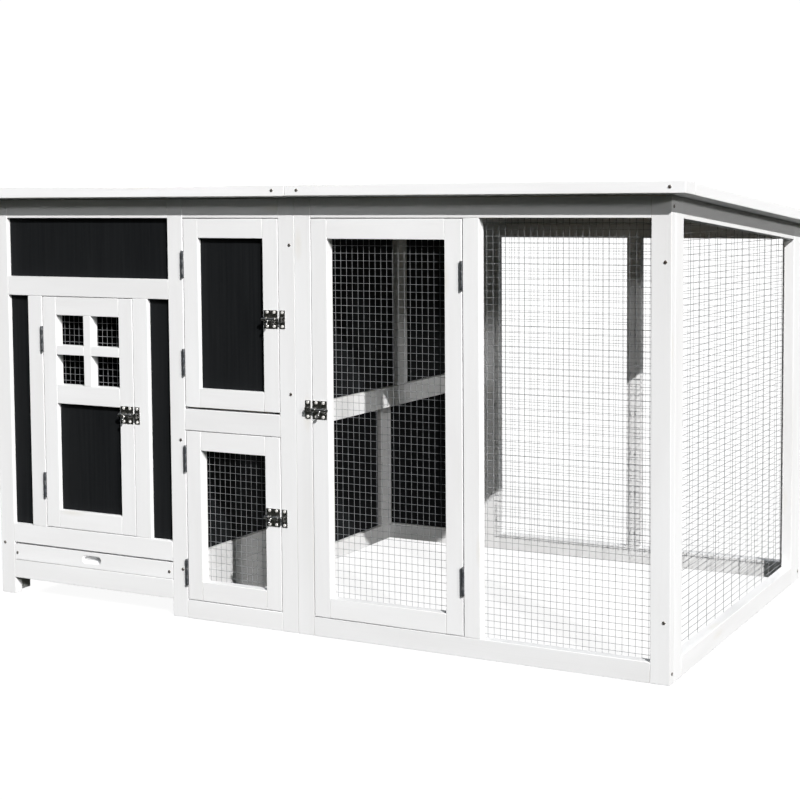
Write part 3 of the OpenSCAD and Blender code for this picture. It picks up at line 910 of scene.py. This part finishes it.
@dataclass
class ScrewHead:
    """A countersunk screw with a cross recess."""

    radius: float = 3.2 * MM
    height: float = 1.2 * MM
    sides: int = 16
    dome: tuple[tuple[float, float], ...] = ((0.14, 0.35), (0.2, 0.15), (0.1, 0.0))
    arm_reach: float = 0.5
    arm_width: float = 0.17
    recess_taper: float = 0.03
    recess_depth: float = 0.7

    def mesh(self, name: str) -> bpy.types.Mesh:
        """Models one head along +Z, its seat at the origin.

        Args:
            name: Name of the mesh.

        Returns:
            The mesh to stamp.
        """
        bm = bmesh.new()
        bmesh.ops.create_circle(bm, cap_ends=True, segments=self.sides, radius=self.radius)
        made = bmesh.ops.extrude_face_region(bm, geom=bm.faces[:], use_keep_orig=True)["geom"]
        bmesh.ops.translate(bm, vec=(0, 0, self.height * 0.5), verts=verts_in(made))
        bmesh.ops.recalc_face_normals(bm, faces=bm.faces)
        cap = max(bm.faces, key=lambda f: f.calc_center_median().z)
        for inward, lift in self.dome:
            self.step_in(bm, cap, inward, lift)
        step = math.tau / self.sides
        for vert in cap.verts:
            turn = round(math.atan2(vert.co.y, vert.co.x) / step) % self.sides
            reach = self.radius * (self.arm_reach if turn % 4 == 0 else self.arm_width)
            vert.co.x = reach * math.cos(turn * step)
            vert.co.y = reach * math.sin(turn * step)
        self.step_in(bm, cap, self.recess_taper, -self.recess_depth)
        return template(bm, name)

    def step_in(self, bm: BMesh, cap: bmesh.types.BMFace, inward: float, lift: float) -> None:
        """Insets the top face and lifts it, in shares of the radius and the height."""
        thickness, depth = self.radius * inward, self.height * lift
        bmesh.ops.inset_individual(bm, faces=[cap], thickness=thickness, depth=depth)


@dataclass
class Fasteners:
    """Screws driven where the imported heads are."""

    shop: Workshop
    head: ScrewHead = field(default_factory=ScrewHead)
    same: float = 0.1 * MM
    smooth_below: float = 50.0

    def drive(self, node: str, piece: str, centre: Vector, look: Look | None) -> bpy.types.Object:
        """Replaces a node of screw heads by detailed ones.

        Args:
            node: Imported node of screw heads.
            piece: Name of the new piece.
            centre: Middle of the coop, which tells outward from inward.
            look: Finish, where it isn't the plain screw metal.

        Returns:
            The piece.
        """
        mesh = self.head.mesh(piece + "_head")
        source = merged_copy(node)
        bm = bmesh.new()
        for group in islands(source):
            stamp(bm, mesh, self.place(group, centre))
        source.free()
        bpy.data.meshes.remove(mesh)
        made = finish_mesh(bm, piece, self.smooth_below)
        return self.shop.hand_in(made, self.shop.body_of(node), Slot.SCREW, [node], look)

    def place(self, group: Faces, centre: Vector) -> Matrix:
        """Finds the place, direction and size of one head, and turns its recess.

        Args:
            group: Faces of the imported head.
            centre: Middle of the coop.

        Returns:
            The placement of the detailed head.
        """
        low, high = extent(group)
        size, middle = high - low, (low + high) / 2
        thin = thin_axis(size)
        outward = Vector((0, 0, 0))
        outward[thin] = 1.0 if middle[thin] > centre[thin] else -1.0
        if abs(size.x - size.z) < self.same:
            outward = Vector(Way.FRONT.value if middle.y < centre.y else Way.BACK.value)
        thickness = min(size)
        seat = middle - outward * thickness / 2
        turn = Matrix.Rotation(self.shop.rng.uniform(0, math.pi / 2), 4, "Z")
        wider = max(size) / (2 * self.head.radius)
        taller = thickness / self.head.height
        return facing(outward, seat) @ turn @ Matrix.Diagonal((wider, wider, taller, 1.0))


@dataclass(frozen=True)
class Slab:
    """One upright packed sheet of wire: its box, its axes and the height of its top edge."""

    low: Vector
    high: Vector
    thin: int
    across: int
    left_top: float
    right_top: float

    @classmethod
    def of(cls, group: Faces, near: float = MM) -> "Slab":
        """Measures a sheet.

        Args:
            group: Faces of the sheet.
            near: Corners within this of an end belong to it.

        Returns:
            The sheet's measures.
        """
        low, high = extent(group)
        thin = thin_axis(high - low)
        across = 1 - thin
        points = [v.co for f in group for v in f.verts]
        left_top = max(p.z for p in points if abs(p[across] - low[across]) < near)
        right_top = max(p.z for p in points if abs(p[across] - high[across]) < near)
        return cls(low, high, thin, across, left_top, right_top)

    @property
    def start(self) -> float:
        """Where the sheet begins along its length."""
        return self.low[self.across]

    @property
    def end(self) -> float:
        """Where the sheet ends along its length."""
        return self.high[self.across]

    @property
    def inward(self) -> float:
        """Sign of the direction into the coop, along the thin axis."""
        return 1.0 if self.low[self.thin] + self.high[self.thin] < 0.0 else -1.0

    def top_at(self, a: float) -> float:
        """Height of the top edge at a place along the sheet."""
        share = (a - self.start) / (self.end - self.start)
        return self.left_top + (self.right_top - self.left_top) * share

    def point(self, a: float, z: float, depth: float) -> Vector:
        """A point of the sheet.

        Args:
            a: Place along the sheet.
            z: Height.
            depth: Distance inwards from the middle of its thickness.

        Returns:
            The point.
        """
        made = Vector((0, 0, z))
        made[self.across] = a
        made[self.thin] = (self.low[self.thin] + self.high[self.thin]) / 2 + self.inward * depth
        return made


@dataclass
class WireSheet:
    """One or more sheets of welded wire in an upright plane."""

    node: str
    piece: str
    shop: Workshop
    pitch_across: float = 12.7 * MM
    pitch_up: float = 12.7 * MM
    wire: float = 0.8 * MM
    start: float | None = None
    sides: int = 5
    cuts: int = 7
    wave: float = 0.45 * MM
    layer: float = 0.42
    first_share: float = 0.4
    end_gap: float = 1 * MM
    shortest: float = 10 * MM
    fewest_beats: float = 2.0
    most_beats: float = 4.0
    smooth_below: float = 80.0

    def rod(self) -> bpy.types.Mesh:
        """Models one straight wire from the origin to +Z.

        Returns:
            A wire one metre long, to stamp.
        """
        bm = bmesh.new()
        bmesh.ops.create_circle(bm, cap_ends=True, segments=self.sides, radius=self.wire / 2)
        cap = bm.faces[:][0]
        bmesh.ops.reverse_faces(bm, faces=[cap])
        made = bmesh.ops.extrude_face_region(bm, geom=[cap], use_keep_orig=True)["geom"]
        bmesh.ops.translate(bm, vec=(0, 0, 1), verts=verts_in(made))
        long_edges = [e for e in bm.edges if abs(e.verts[0].co.z - e.verts[1].co.z) > 0.5]
        bmesh.ops.subdivide_edges(bm, edges=long_edges, cuts=self.cuts)
        bmesh.ops.recalc_face_normals(bm, faces=bm.faces)
        return template(bm, self.piece + "_rod")

    def add_wire(self, bm: BMesh, rod: bpy.types.Mesh, first: Vector, last: Vector) -> None:
        """Adds one slightly wavy wire between two points.

        Args:
            bm: Mesh that takes the wire.
            rod: Straight wire to stamp.
            first: Where it starts.
            last: Where it ends.
        """
        along = last - first
        way = along.normalized()
        place = facing(way, first) @ Matrix.Diagonal((1, 1, along.length, 1))
        phase = self.shop.rng.uniform(0, math.tau)
        beat = self.shop.rng.uniform(self.fewest_beats, self.most_beats)
        side = way.cross(Vector((0, 0, 1)) if abs(way.z) < 0.5 else Vector((1, 1, 0)))
        side.normalize()
        for vert in stamp(bm, rod, place):
            t = (vert.co - first).dot(along) / along.length_squared
            swing = math.sin(phase + beat * math.tau * t) * math.sin(math.pi * t)
            vert.co += side * self.wave * swing

    def build(self) -> bpy.types.Object:
        """Weaves every sheet of the node, its cross wires on the inside of its uprights.

        Returns:
            The piece.
        """
        rod = self.rod()
        bm = bmesh.new()
        source = merged_copy(self.node)
        for group in islands(source):
            slab = Slab.of(group)
            self.uprights(bm, rod, slab)
            self.cross_wires(bm, rod, slab)
        source.free()
        bpy.data.meshes.remove(rod)
        made = finish_mesh(bm, self.piece, self.smooth_below)
        return self.shop.hand_in(made, self.shop.body_of(self.node), Slot.WIRE, [self.node])

    def uprights(self, bm: BMesh, rod: bpy.types.Mesh, slab: Slab) -> None:
        """Fills one sheet with upright wires.

        Args:
            bm: Mesh that takes the wires.
            rod: Wire to stamp.
            slab: Sheet to fill.
        """
        begin = slab.start + self.pitch_across * self.first_share
        if self.start is not None:
            begin = self.start
        count = int((slab.end - begin - self.end_gap) / self.pitch_across) + 1
        for k in range(count):
            a = begin + k * self.pitch_across
            foot = slab.point(a, slab.low.z + self.end_gap, 0.0)
            head = slab.point(a, slab.top_at(a) - self.end_gap, 0.0)
            self.add_wire(bm, rod, foot, head)

    def cross_wires(self, bm: BMesh, rod: bpy.types.Mesh, slab: Slab) -> None:
        """Fills one sheet with cross wires, cut short where its top edge slopes.

        Args:
            bm: Mesh that takes the wires.
            rod: Wire to stamp.
            slab: Sheet to fill.
        """
        depth = self.layer * self.wire
        highest = max(slab.left_top, slab.right_top)
        lowest = min(slab.left_top, slab.right_top)
        z = slab.low.z + self.pitch_up * self.first_share
        while z < highest - self.end_gap:
            ends = [slab.start + self.end_gap, slab.end - self.end_gap]
            if z > lowest:
                share = (z - slab.left_top) / (slab.right_top - slab.left_top)
                cut = slab.start + share * (slab.end - slab.start)
                ends[1 if slab.left_top > slab.right_top else 0] = cut
            if ends[1] - ends[0] > self.shortest:
                first, last = (slab.point(a, z, depth) for a in ends)
                self.add_wire(bm, rod, first, last)
            z += self.pitch_up


@dataclass
class Staples:
    """Round-wire staples that hold a sheet of wire to its timbers, on the inside."""

    node: str
    piece: str
    shop: Workshop
    crown: float = 9 * MM
    leg: float = 5 * MM
    wire: float = 1.0 * MM
    sides: int = 6
    spacing: float = 92 * MM
    inset: float = 6 * MM
    lift: float = 1.1
    slant: float = 14.0
    smooth_below: float = 50.0

    def shape(self) -> bpy.types.Mesh:
        """Models one staple by drawing its section round the bends.

        Returns:
            A staple with its crown along X and its legs into -Z, to stamp.
        """
        bm = bmesh.new()
        foot = Matrix.Translation((-self.crown / 2, 0, -self.leg))
        bmesh.ops.create_circle(
            bm, cap_ends=False, segments=self.sides, radius=self.wire / 2, matrix=foot
        )
        ring = bm.edges[:]
        straight_leg = self.leg - self.wire
        for step, turn in (
            ((0, 0, straight_leg), 0.0),
            ((self.wire, 0, self.wire), 90.0),
            ((self.crown - 2 * self.wire, 0, 0), 0.0),
            ((self.wire, 0, -self.wire), 90.0),
            ((0, 0, -straight_leg), 0.0),
        ):
            made = bmesh.ops.extrude_edge_only(bm, edges=ring)["geom"]
            verts = verts_in(made)
            ring = [e for e in made if isinstance(e, bmesh.types.BMEdge)]
            bmesh.ops.translate(bm, vec=step, verts=verts)
            if turn:
                centre = sum((v.co for v in verts), Vector()) / len(verts)
                bend = Matrix.Rotation(math.radians(turn), 3, "Y")
                bmesh.ops.rotate(bm, cent=centre, matrix=bend, verts=verts)
        bmesh.ops.holes_fill(bm, edges=bm.edges, sides=self.sides)
        bmesh.ops.recalc_face_normals(bm, faces=bm.faces)
        return template(bm, self.piece + "_one")

    def build(self) -> bpy.types.Object:
        """Sets staples round the edge of every sheet of the node.

        Returns:
            The piece.
        """
        one = self.shape()
        bm = bmesh.new()
        source = merged_copy(self.node)
        for group in islands(source):
            self.ring(bm, one, Slab.of(group))
        source.free()
        bpy.data.meshes.remove(one)
        made = finish_mesh(bm, self.piece, self.smooth_below)
        return self.shop.hand_in(made, self.shop.body_of(self.node), Slot.WIRE, [])

    def spots(self, slab: Slab) -> list[tuple[float, float, float]]:
        """Spaces the staples evenly along each side of a sheet.

        Args:
            slab: Sheet to hold.

        Returns:
            Place along the sheet, height and turn in degrees of each staple.
        """
        spots = []
        width, height = slab.end - slab.start, slab.high.z - slab.low.z
        along = max(2, int(width / self.spacing))
        for k in range(along):
            a = slab.start + width * (k + 0.5) / along
            spots.append((a, slab.low.z + self.inset, 0.0))
            spots.append((a, slab.top_at(a) - self.inset, 0.0))
        up = max(2, int(height / self.spacing))
        for k in range(up):
            z = slab.low.z + height * (k + 0.5) / up
            spots.append((slab.start + self.inset, z, 90.0))
            if z < slab.right_top - 2 * self.inset:
                spots.append((slab.end - self.inset, z, 90.0))
        return spots

    def ring(self, bm: BMesh, one: bpy.types.Mesh, slab: Slab) -> None:
        """Sets the staples of one sheet, each a little askew.

        Args:
            bm: Mesh that takes the staples.
            one: Staple to stamp.
            slab: Sheet to hold.
        """
        way = Vector((0, 0, 0))
        way[slab.thin] = slab.inward
        for a, z, turn in self.spots(slab):
            at = slab.point(a, z, self.wire * self.lift)
            tilt = math.radians(turn + self.shop.rng.uniform(-self.slant, self.slant))
            basis = Matrix.Rotation(tilt, 4, way) @ facing(way, Vector())
            stamp(bm, one, Matrix.Translation(at) @ basis)


# ---- Sub-assemblies ----


@dataclass
class HenHouse:
    """The closed left half: frames, stained boards, perch, nest floor."""

    shop: Workshop
    edge: float = 0.9 * MM
    board_edge: float = 0.35 * MM
    inside_edge: float = 0.8 * MM
    floor_edge: float = 0.4 * MM
    perch_edge: float = 3.0 * MM
    inside_spread: float = 0.12

    def build(self) -> None:
        """Builds every fixed piece of the house and nest bay."""
        for side in ("house_front", "house_left", "house_back", "house_wall", "nest_wall"):
            boards = side + "_boards"
            self.shop.timber(side + "_frame", side + "_timbers", offset=self.edge)
            self.shop.timber(
                side + "_panels", boards, Slot.BLACK_BOARD, self.board_edge, 0.0, along=2
            )
        for node, offset in (
            ("tray_runners", self.inside_edge),
            ("nest_floor", self.floor_edge),
            ("nest_bearers", self.inside_edge),
            ("perch", self.perch_edge),
            ("perch_cradles", self.inside_edge),
        ):
            wood = node + "_wood"
            self.shop.timber(node, wood, Slot.BARE_WOOD, offset, self.inside_spread)


@dataclass
class Run:
    """The open right half: frames and welded wire."""

    shop: Workshop
    edge: float = 0.9 * MM
    side_pitch: float = 55.5 * MM
    side_rise: float = 13.2 * MM
    side_wire: float = 1.0 * MM
    back_wire: float = 0.66 * MM
    side_start: float = 65.0 * MM
    depth: float = 900 * MM

    def build(self) -> None:
        """Builds the frames, the wire sheets and their staples."""
        sides = ("run_front", "run_side", "run_back")
        for side in sides:
            self.shop.timber(side + "_frame", side + "_timbers", offset=self.edge)
        WireSheet("run_front_mesh", "run_front_wire", self.shop).build()
        WireSheet(
            "run_side_mesh",
            "run_side_wire",
            self.shop,
            pitch_across=self.side_pitch,
            pitch_up=self.side_rise,
            start=self.side_start - self.depth / 2,
            wire=self.side_wire,
        ).build()
        WireSheet("run_back_mesh", "run_back_wire", self.shop, wire=self.back_wire).build()
        for side in sides:
            Staples(side + "_mesh", side + "_staples", self.shop).build()


@dataclass
class Roof:
    """Two roof halves: white battens, boards and felt with laps and clout nails."""

    shop: Workshop
    batten_edge: float = 1.4 * MM
    batten_spread: float = 0.02
    board_edge: float = 0.5 * MM
    board_spread: float = 0.05
    felt_edge: float = 0.7 * MM
    lap_width: float = 60 * MM
    lap_height: float = 1.6 * MM
    lap_sink: float = 0.2 * MM
    lap_edge: float = 0.6 * MM
    lap_inset: float = 1.5 * MM
    lap_places: tuple[float, ...] = (0.36, 0.70)
    nail_radius: float = 4.5 * MM
    nail_height: float = 1.4 * MM
    nail_taper: float = 0.8
    nail_rise: float = 0.35
    nail_sides: int = 12
    nail_spacing: float = 110 * MM
    nail_inset: float = 22 * MM
    nail_stray: float = 2 * MM
    nail_smooth_below: float = 60.0
    back_band: float = 2 * MM

    def build(self) -> None:
        """Builds the battens, boards, felt, laps and nails."""
        for half in ("house_roof", "run_roof"):
            battens, edging = half + "_battens", half + "_edging"
            self.shop.timber(
                battens, edging, offset=self.batten_edge, spread=self.batten_spread
            )
        self.shop.timber(
            "roof_boards",
            "roof_decking",
            Slot.BARE_WOOD,
            self.board_edge,
            self.board_spread,
            along=0,
        )
        self.shop.fitting("roof_felt", "roof_felt_sheets", Slot.FELT, self.felt_edge)
        self.laps()
        self.nails()

    def slope(self) -> tuple[Vector, Vector, float]:
        """Measures the felt.

        Returns:
            Its lowest and highest corner, and the fall of its top from front to back.
        """
        low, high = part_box("roof_felt")
        tops = [v.co for v in bpy.data.objects["roof_felt"].data.vertices]
        back = max(p.z for p in tops if p.y > high.y - self.back_band)
        return low, high, (high.z - back) / (high.y - low.y)

    def sheets(self) -> list[tuple[float, float]]:
        """Measures each felt sheet.

        Returns:
            The left and right edge of each, from left to right.
        """
        felt = merged_copy("roof_felt")
        boxes = [extent(group) for group in islands(felt)]
        felt.free()
        return sorted((low.x, high.x) for low, high in boxes)

    def laps(self) -> None:
        """Lays two lapped strips across each half, along X."""
        low, high, fall = self.slope()
        bm = bmesh.new()
        tilt = Matrix.Rotation(-math.atan(fall), 4, "X")
        for left, right in self.sheets():
            x0, x1 = left + self.lap_inset, right - self.lap_inset
            size = Matrix.Diagonal((x1 - x0, self.lap_width, self.lap_height, 1))
            for part in self.lap_places:
                y = low.y + (high.y - low.y) * part
                z = high.z - fall * (y - low.y) + self.lap_height / 2 - self.lap_sink
                place = Matrix.Translation(((x0 + x1) / 2, y, z)) @ tilt @ size
                bmesh.ops.create_cube(bm, size=1.0, matrix=place)
        ease(bm, self.lap_edge)
        self.shop.hand_in(finish_mesh(bm, "roof_felt_laps"), "coop", Slot.FELT, [])

    def nail(self) -> bpy.types.Mesh:
        """Models one clout nail's head.

        Returns:
            The head along +Z, to stamp.
        """
        bm = bmesh.new()
        bmesh.ops.create_cone(
            bm,
            cap_ends=True,
            segments=self.nail_sides,
            radius1=self.nail_radius,
            radius2=self.nail_radius * self.nail_taper,
            depth=self.nail_height,
        )
        return template(bm, "clout")

    def nails(self) -> None:
        """Drives clout nails round the edge of each felt sheet."""
        low, high, fall = self.slope()
        mesh = self.nail()
        bm = bmesh.new()
        up = Vector((0, fall, 1)).normalized()
        front, back = low.y + self.nail_inset, high.y - self.nail_inset
        for x0, x1 in self.sheets():
            left, right = x0 + self.nail_inset, x1 - self.nail_inset
            across = int((right - left) / self.nail_spacing)
            down = int((back - front) / self.nail_spacing)
            columns = [left + (right - left) * k / across for k in range(across + 1)]
            rows = [front + (back - front) * k / down for k in range(1, down)]
            spots = [(x, y) for x in columns for y in (front, back)]
            spots += [(x, y) for y in rows for x in (left, right)]
            for x, y in spots:
                x += self.shop.rng.uniform(-self.nail_stray, self.nail_stray)
                z = high.z - fall * (y - low.y) + self.nail_height * self.nail_rise
                stamp(bm, mesh, facing(up, Vector((x, y, z))))
        bpy.data.meshes.remove(mesh)
        made = finish_mesh(bm, "roof_clout_nails", self.nail_smooth_below)
        self.shop.hand_in(made, "coop", Slot.SCREW, [])


@dataclass
class LitterTray:
    """The slide-out tray: a white front with a backed hand slot and a folded pan."""

    shop: Workshop
    edge: float = 1.2 * MM
    pan_edge: float = 0.35 * MM
    slot_width: float = 50 * MM
    slot_height: float = 17 * MM
    slot_depth: float = 11 * MM
    backing: float = 2 * MM
    top_relief: float = 2.6 * MM
    spread: float = 0.02
    sides: int = 30

    def build(self) -> None:
        """Builds the front, the pan and the backing of the hand slot."""
        bm = merged_copy("tray_front")
        top = max(v.co.z for v in bm.verts)
        for vert in bm.verts:
            if vert.co.z > top - MM:
                vert.co.z -= self.top_relief
        lay_grain(bm, ease(bm, self.edge), self.shop.rng, self.spread)
        board = finish_mesh(bm, "tray_front_board")
        self.shop.hand_in(board, "tray", Slot.WHITE_TIMBER, ["tray_front"])
        self.shop.fitting("tray_pan", "tray_pan_sheet", Slot.TRAY, self.pan_edge)
        self.slot_backing()

    def slot_backing(self) -> None:
        """Closes the hand slot part way in with a thin white board."""
        low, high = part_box("tray_front")
        middle = (low + high) / 2
        place = Matrix.Translation((middle.x, low.y + self.slot_depth, middle.z))
        upright = place @ Matrix.Rotation(math.pi / 2, 4, "X")
        bm = bmesh.new()
        bmesh.ops.create_circle(
            bm, cap_ends=True, segments=self.sides, radius=self.slot_height / 2, matrix=upright
        )
        straight = (self.slot_width - self.slot_height) / 2
        for vert in bm.verts:
            vert.co.x += math.copysign(straight, vert.co.x - middle.x)
        made = bmesh.ops.extrude_face_region(bm, geom=bm.faces[:], use_keep_orig=True)["geom"]
        bmesh.ops.translate(bm, vec=(0, self.backing, 0), verts=verts_in(made))
        bmesh.ops.recalc_face_normals(bm, faces=bm.faces)
        lay_grain(bm, [], self.shop.rng, 0.0, along=0)
        board = finish_mesh(bm, "tray_slot_backing")
        self.shop.hand_in(board, "tray", Slot.WHITE_TIMBER, [])


@dataclass
class Door:
    """A hinged door with its filling, hinges and barrel bolt."""

    name: str
    shop: Workshop
    filling: tuple[str, ...]
    edge: float = 0.9 * MM
    board_edge: float = 0.35 * MM
    bolt_edge: float = 0.5 * MM
    cell_height: float = 14.6 * MM
    spread: float = 0.03

    def build(self) -> None:
        """Builds the leaf, its filling and its hardware."""
        shop, name = self.shop, self.name
        shop.timber(name + "_frame", name + "_timbers", offset=self.edge, spread=self.spread)
        for part in self.filling:
            self.fill(f"{name}_{part}")
        shop.fitting(name + "_hinge_leaves", name + "_hinge_halves", look=Look.DARK_STEEL)
        shop.fitting(name + "_latch_plate", name + "_latch_body")
        shop.fitting(name + "_bolt", name + "_latch_bolt", offset=self.bolt_edge)

    def fill(self, node: str) -> None:
        """Fills the leaf with a board, or with wire and its staples.

        Args:
            node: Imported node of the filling.
        """
        if node.endswith("_panel"):
            board = node + "_board"
            self.shop.timber(node, board, Slot.BLACK_BOARD, self.board_edge, 0.0, along=2)
            return
        wire, staples = (node.replace("_mesh", kind) for kind in ("_wire", "_staples"))
        WireSheet(node, wire, self.shop, pitch_up=self.cell_height).build()
        Staples(node, staples, self.shop).build()


@dataclass
class Hardware:
    """Hinge halves, pins and keepers fixed to the coop, and every screw."""

    shop: Workshop
    pin_edge: float = 0.4 * MM
    middle_height: float = 430 * MM

    def build(self) -> None:
        """Builds the fixed fittings and all screw heads."""
        dark = Look.DARK_STEEL
        self.shop.fitting("hinge_frame_leaves", "hinge_frame_halves", look=dark)
        self.shop.fitting("hinge_pins", "hinge_pin_set", offset=self.pin_edge, look=dark)
        self.shop.fitting("latch_keepers", "latch_keeper_straps")
        centre = Vector((0, 0, self.middle_height))
        fasteners = Fasteners(self.shop)
        for node in sorted(n for n in bpy.data.objects.keys() if n.endswith("_screws")):
            small = node.endswith("latch_screws") or node == "keeper_screws"
            # The small latch and keeper screws get the finish with painted reflection in its
            # near-white colour.
            fasteners.drive(node, node + "_driven", centre, Look.PAINTED_REFLECTION_SCREW if small else None)


# ---- Studio ----


@dataclass
class Studio:
    """Pale floor, white surround, key and fill from the front right, rim light, weak sky."""

    key_from: Triple = (1.1, -0.93, 1.0)
    key_strength: float = 5.1
    key_angle: float = 0.6
    fill_from: Triple = (1.0, -0.5, 0.31)
    fill_strength: float = 1.0
    rim_from: Triple = (-0.8, 1.0, 0.45)
    rim_strength: float = 1.8
    soft_angle: float = 6.0
    warm: Triple = (1.0, 0.985, 0.97)
    sky_low: float = 0.2
    sky_low_colour: Colour = (0.03, 0.032, 0.026, 1.0)
    sky_high: float = 0.7
    sky_high_colour: Colour = (0.30, 0.34, 0.38, 1.0)
    floor_size: float = 60.0
    floor_drop: float = 0.5 * MM
    floor_colour: float = 0.05
    floor_glow: float = 0.945
    surround_radius: float = 28.571
    nearest: float = 0.05
    farthest: float = 200.0
    eye: Triple = (1.66836, -3.1310, 0.86656)
    yaw: float = 28.137
    pitch: float = -4.024
    roll: float = -0.413
    focal: float = 1606.8
    centre_row: float = 310.0
    frame_side: float = 800.0
    sensor: float = 36.0

    def camera(self) -> None:
        """Sets the camera."""
        yaw, pitch, roll = (math.radians(v) for v in (self.yaw, self.pitch, self.roll))
        level = Vector((-math.sin(yaw), math.cos(yaw), 0.0))
        forward = level * math.cos(pitch) + Vector((0.0, 0.0, math.sin(pitch)))
        right = Vector((math.cos(yaw), math.sin(yaw), 0.0))
        up = right.cross(forward)
        right_rolled = right * math.cos(roll) + up * math.sin(roll)
        up_rolled = up * math.cos(roll) - right * math.sin(roll)
        data = bpy.data.cameras.new("view")
        data.sensor_fit = "HORIZONTAL"
        data.sensor_width = self.sensor
        data.lens = self.focal / self.frame_side * self.sensor
        data.shift_y = (self.centre_row - self.frame_side / 2) / self.frame_side
        data.clip_start, data.clip_end = self.nearest, self.farthest
        made = bpy.data.objects.new("view", data)
        basis = Matrix((right_rolled, up_rolled, -forward)).transposed()
        made.matrix_world = Matrix.Translation(self.eye) @ basis.to_4x4()
        bpy.context.scene.collection.objects.link(made)
        bpy.context.scene.camera = made

    def light(self, name: str, toward: Triple, strength: float, angle: float) -> None:
        """Adds one far light.

        Args:
            name: Name of the light.
            toward: Direction from the coop to the light.
            strength: Strength of the light.
            angle: Its width, in degrees.
        """
        data = bpy.data.lights.new(name, "SUN")
        data.energy = strength
        data.angle = math.radians(angle)
        data.color = self.warm
        made = bpy.data.objects.new(name, data)
        made.matrix_world = facing(Vector(toward), Vector())
        bpy.context.scene.collection.objects.link(made)

    def sky(self) -> None:
        """Sets the weak surrounding light: cool above, dark below."""
        world = bpy.data.worlds.new("surround")
        bpy.context.scene.world = world
        world.use_nodes = True
        nodes, links = world.node_tree.nodes, world.node_tree.links
        coords = nodes.new("ShaderNodeTexCoord")
        split = nodes.new("ShaderNodeSeparateXYZ")
        ramp = nodes.new("ShaderNodeValToRGB")
        links.new(coords.outputs["Generated"], split.inputs[0])
        links.new(split.outputs["Z"], ramp.inputs[0])
        links.new(ramp.outputs[0], nodes["Background"].inputs[0])
        low, high = ramp.color_ramp.elements[0], ramp.color_ramp.elements[1]
        low.position, low.color = self.sky_low, self.sky_low_colour
        high.position, high.color = self.sky_high, self.sky_high_colour
        nodes["Background"].inputs[1].default_value = 1.0

    def plain(self, name: str, colour: float, glow: float) -> bpy.types.Material:
        """A plain pale material for the floor or the surround.

        Args:
            name: Name of the material.
            colour: Grey level.
            glow: Strength of its own light.

        Returns:
            The material.
        """
        s = Shading(name)
        s.surface(
            Base_Color=(colour, colour, colour, 1.0),
            Roughness=0.9,
            Emission_Color=(1, 1, 1, 1),
            Emission_Strength=glow,
        )
        return s.material

    def stage(self) -> None:
        """Builds the floor and the white surround; neither lights the coop."""
        bm = bmesh.new()
        place = Matrix.Translation((0, 0, -self.floor_drop))
        half = self.floor_size / 2
        bmesh.ops.create_grid(bm, x_segments=1, y_segments=1, size=half, matrix=place)
        floor = finish_mesh(bm, "floor")
        floor.data.materials.append(self.plain("pale_floor", self.floor_colour, self.floor_glow))
        bm = bmesh.new()
        bmesh.ops.create_uvsphere(bm, u_segments=32, v_segments=16, radius=self.surround_radius)
        bmesh.ops.reverse_faces(bm, faces=bm.faces)
        surround = finish_mesh(bm, "white_surround")
        surround.data.materials.append(self.plain("white_surround", 0.0, 1.0))
        for piece in (floor, surround):
            piece.visible_diffuse = False
            piece.visible_glossy = False
        surround.visible_shadow = False
        surround.visible_transmission = False

    def build(self) -> None:
        """Sets up everything that isn't the coop."""
        self.camera()
        self.light("key", self.key_from, self.key_strength, self.key_angle)
        self.light("fill", self.fill_from, self.fill_strength, self.soft_angle)
        self.light("rim", self.rim_from, self.rim_strength, self.soft_angle)
        self.sky()
        self.stage()
        bpy.context.scene.view_settings.view_transform = "Standard"


def main() -> None:
    """Builds the coop and its studio."""
    logging.basicConfig(level=logging.INFO, format="%(name)s: %(message)s")
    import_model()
    shop = Workshop(Finishes())
    HenHouse(shop).build()
    Run(shop).build()
    Roof(shop).build()
    LitterTray(shop).build()
    Door("house_door", shop, ("panel", "window_mesh"), cell_height=14 * MM).build()
    Door("nest_door", shop, ("panel",)).build()
    Door("pen_door", shop, ("mesh",)).build()
    Door("run_door", shop, ("mesh",)).build()
    Hardware(shop).build()
    Studio().build()


if __name__ == "__main__":
    main()
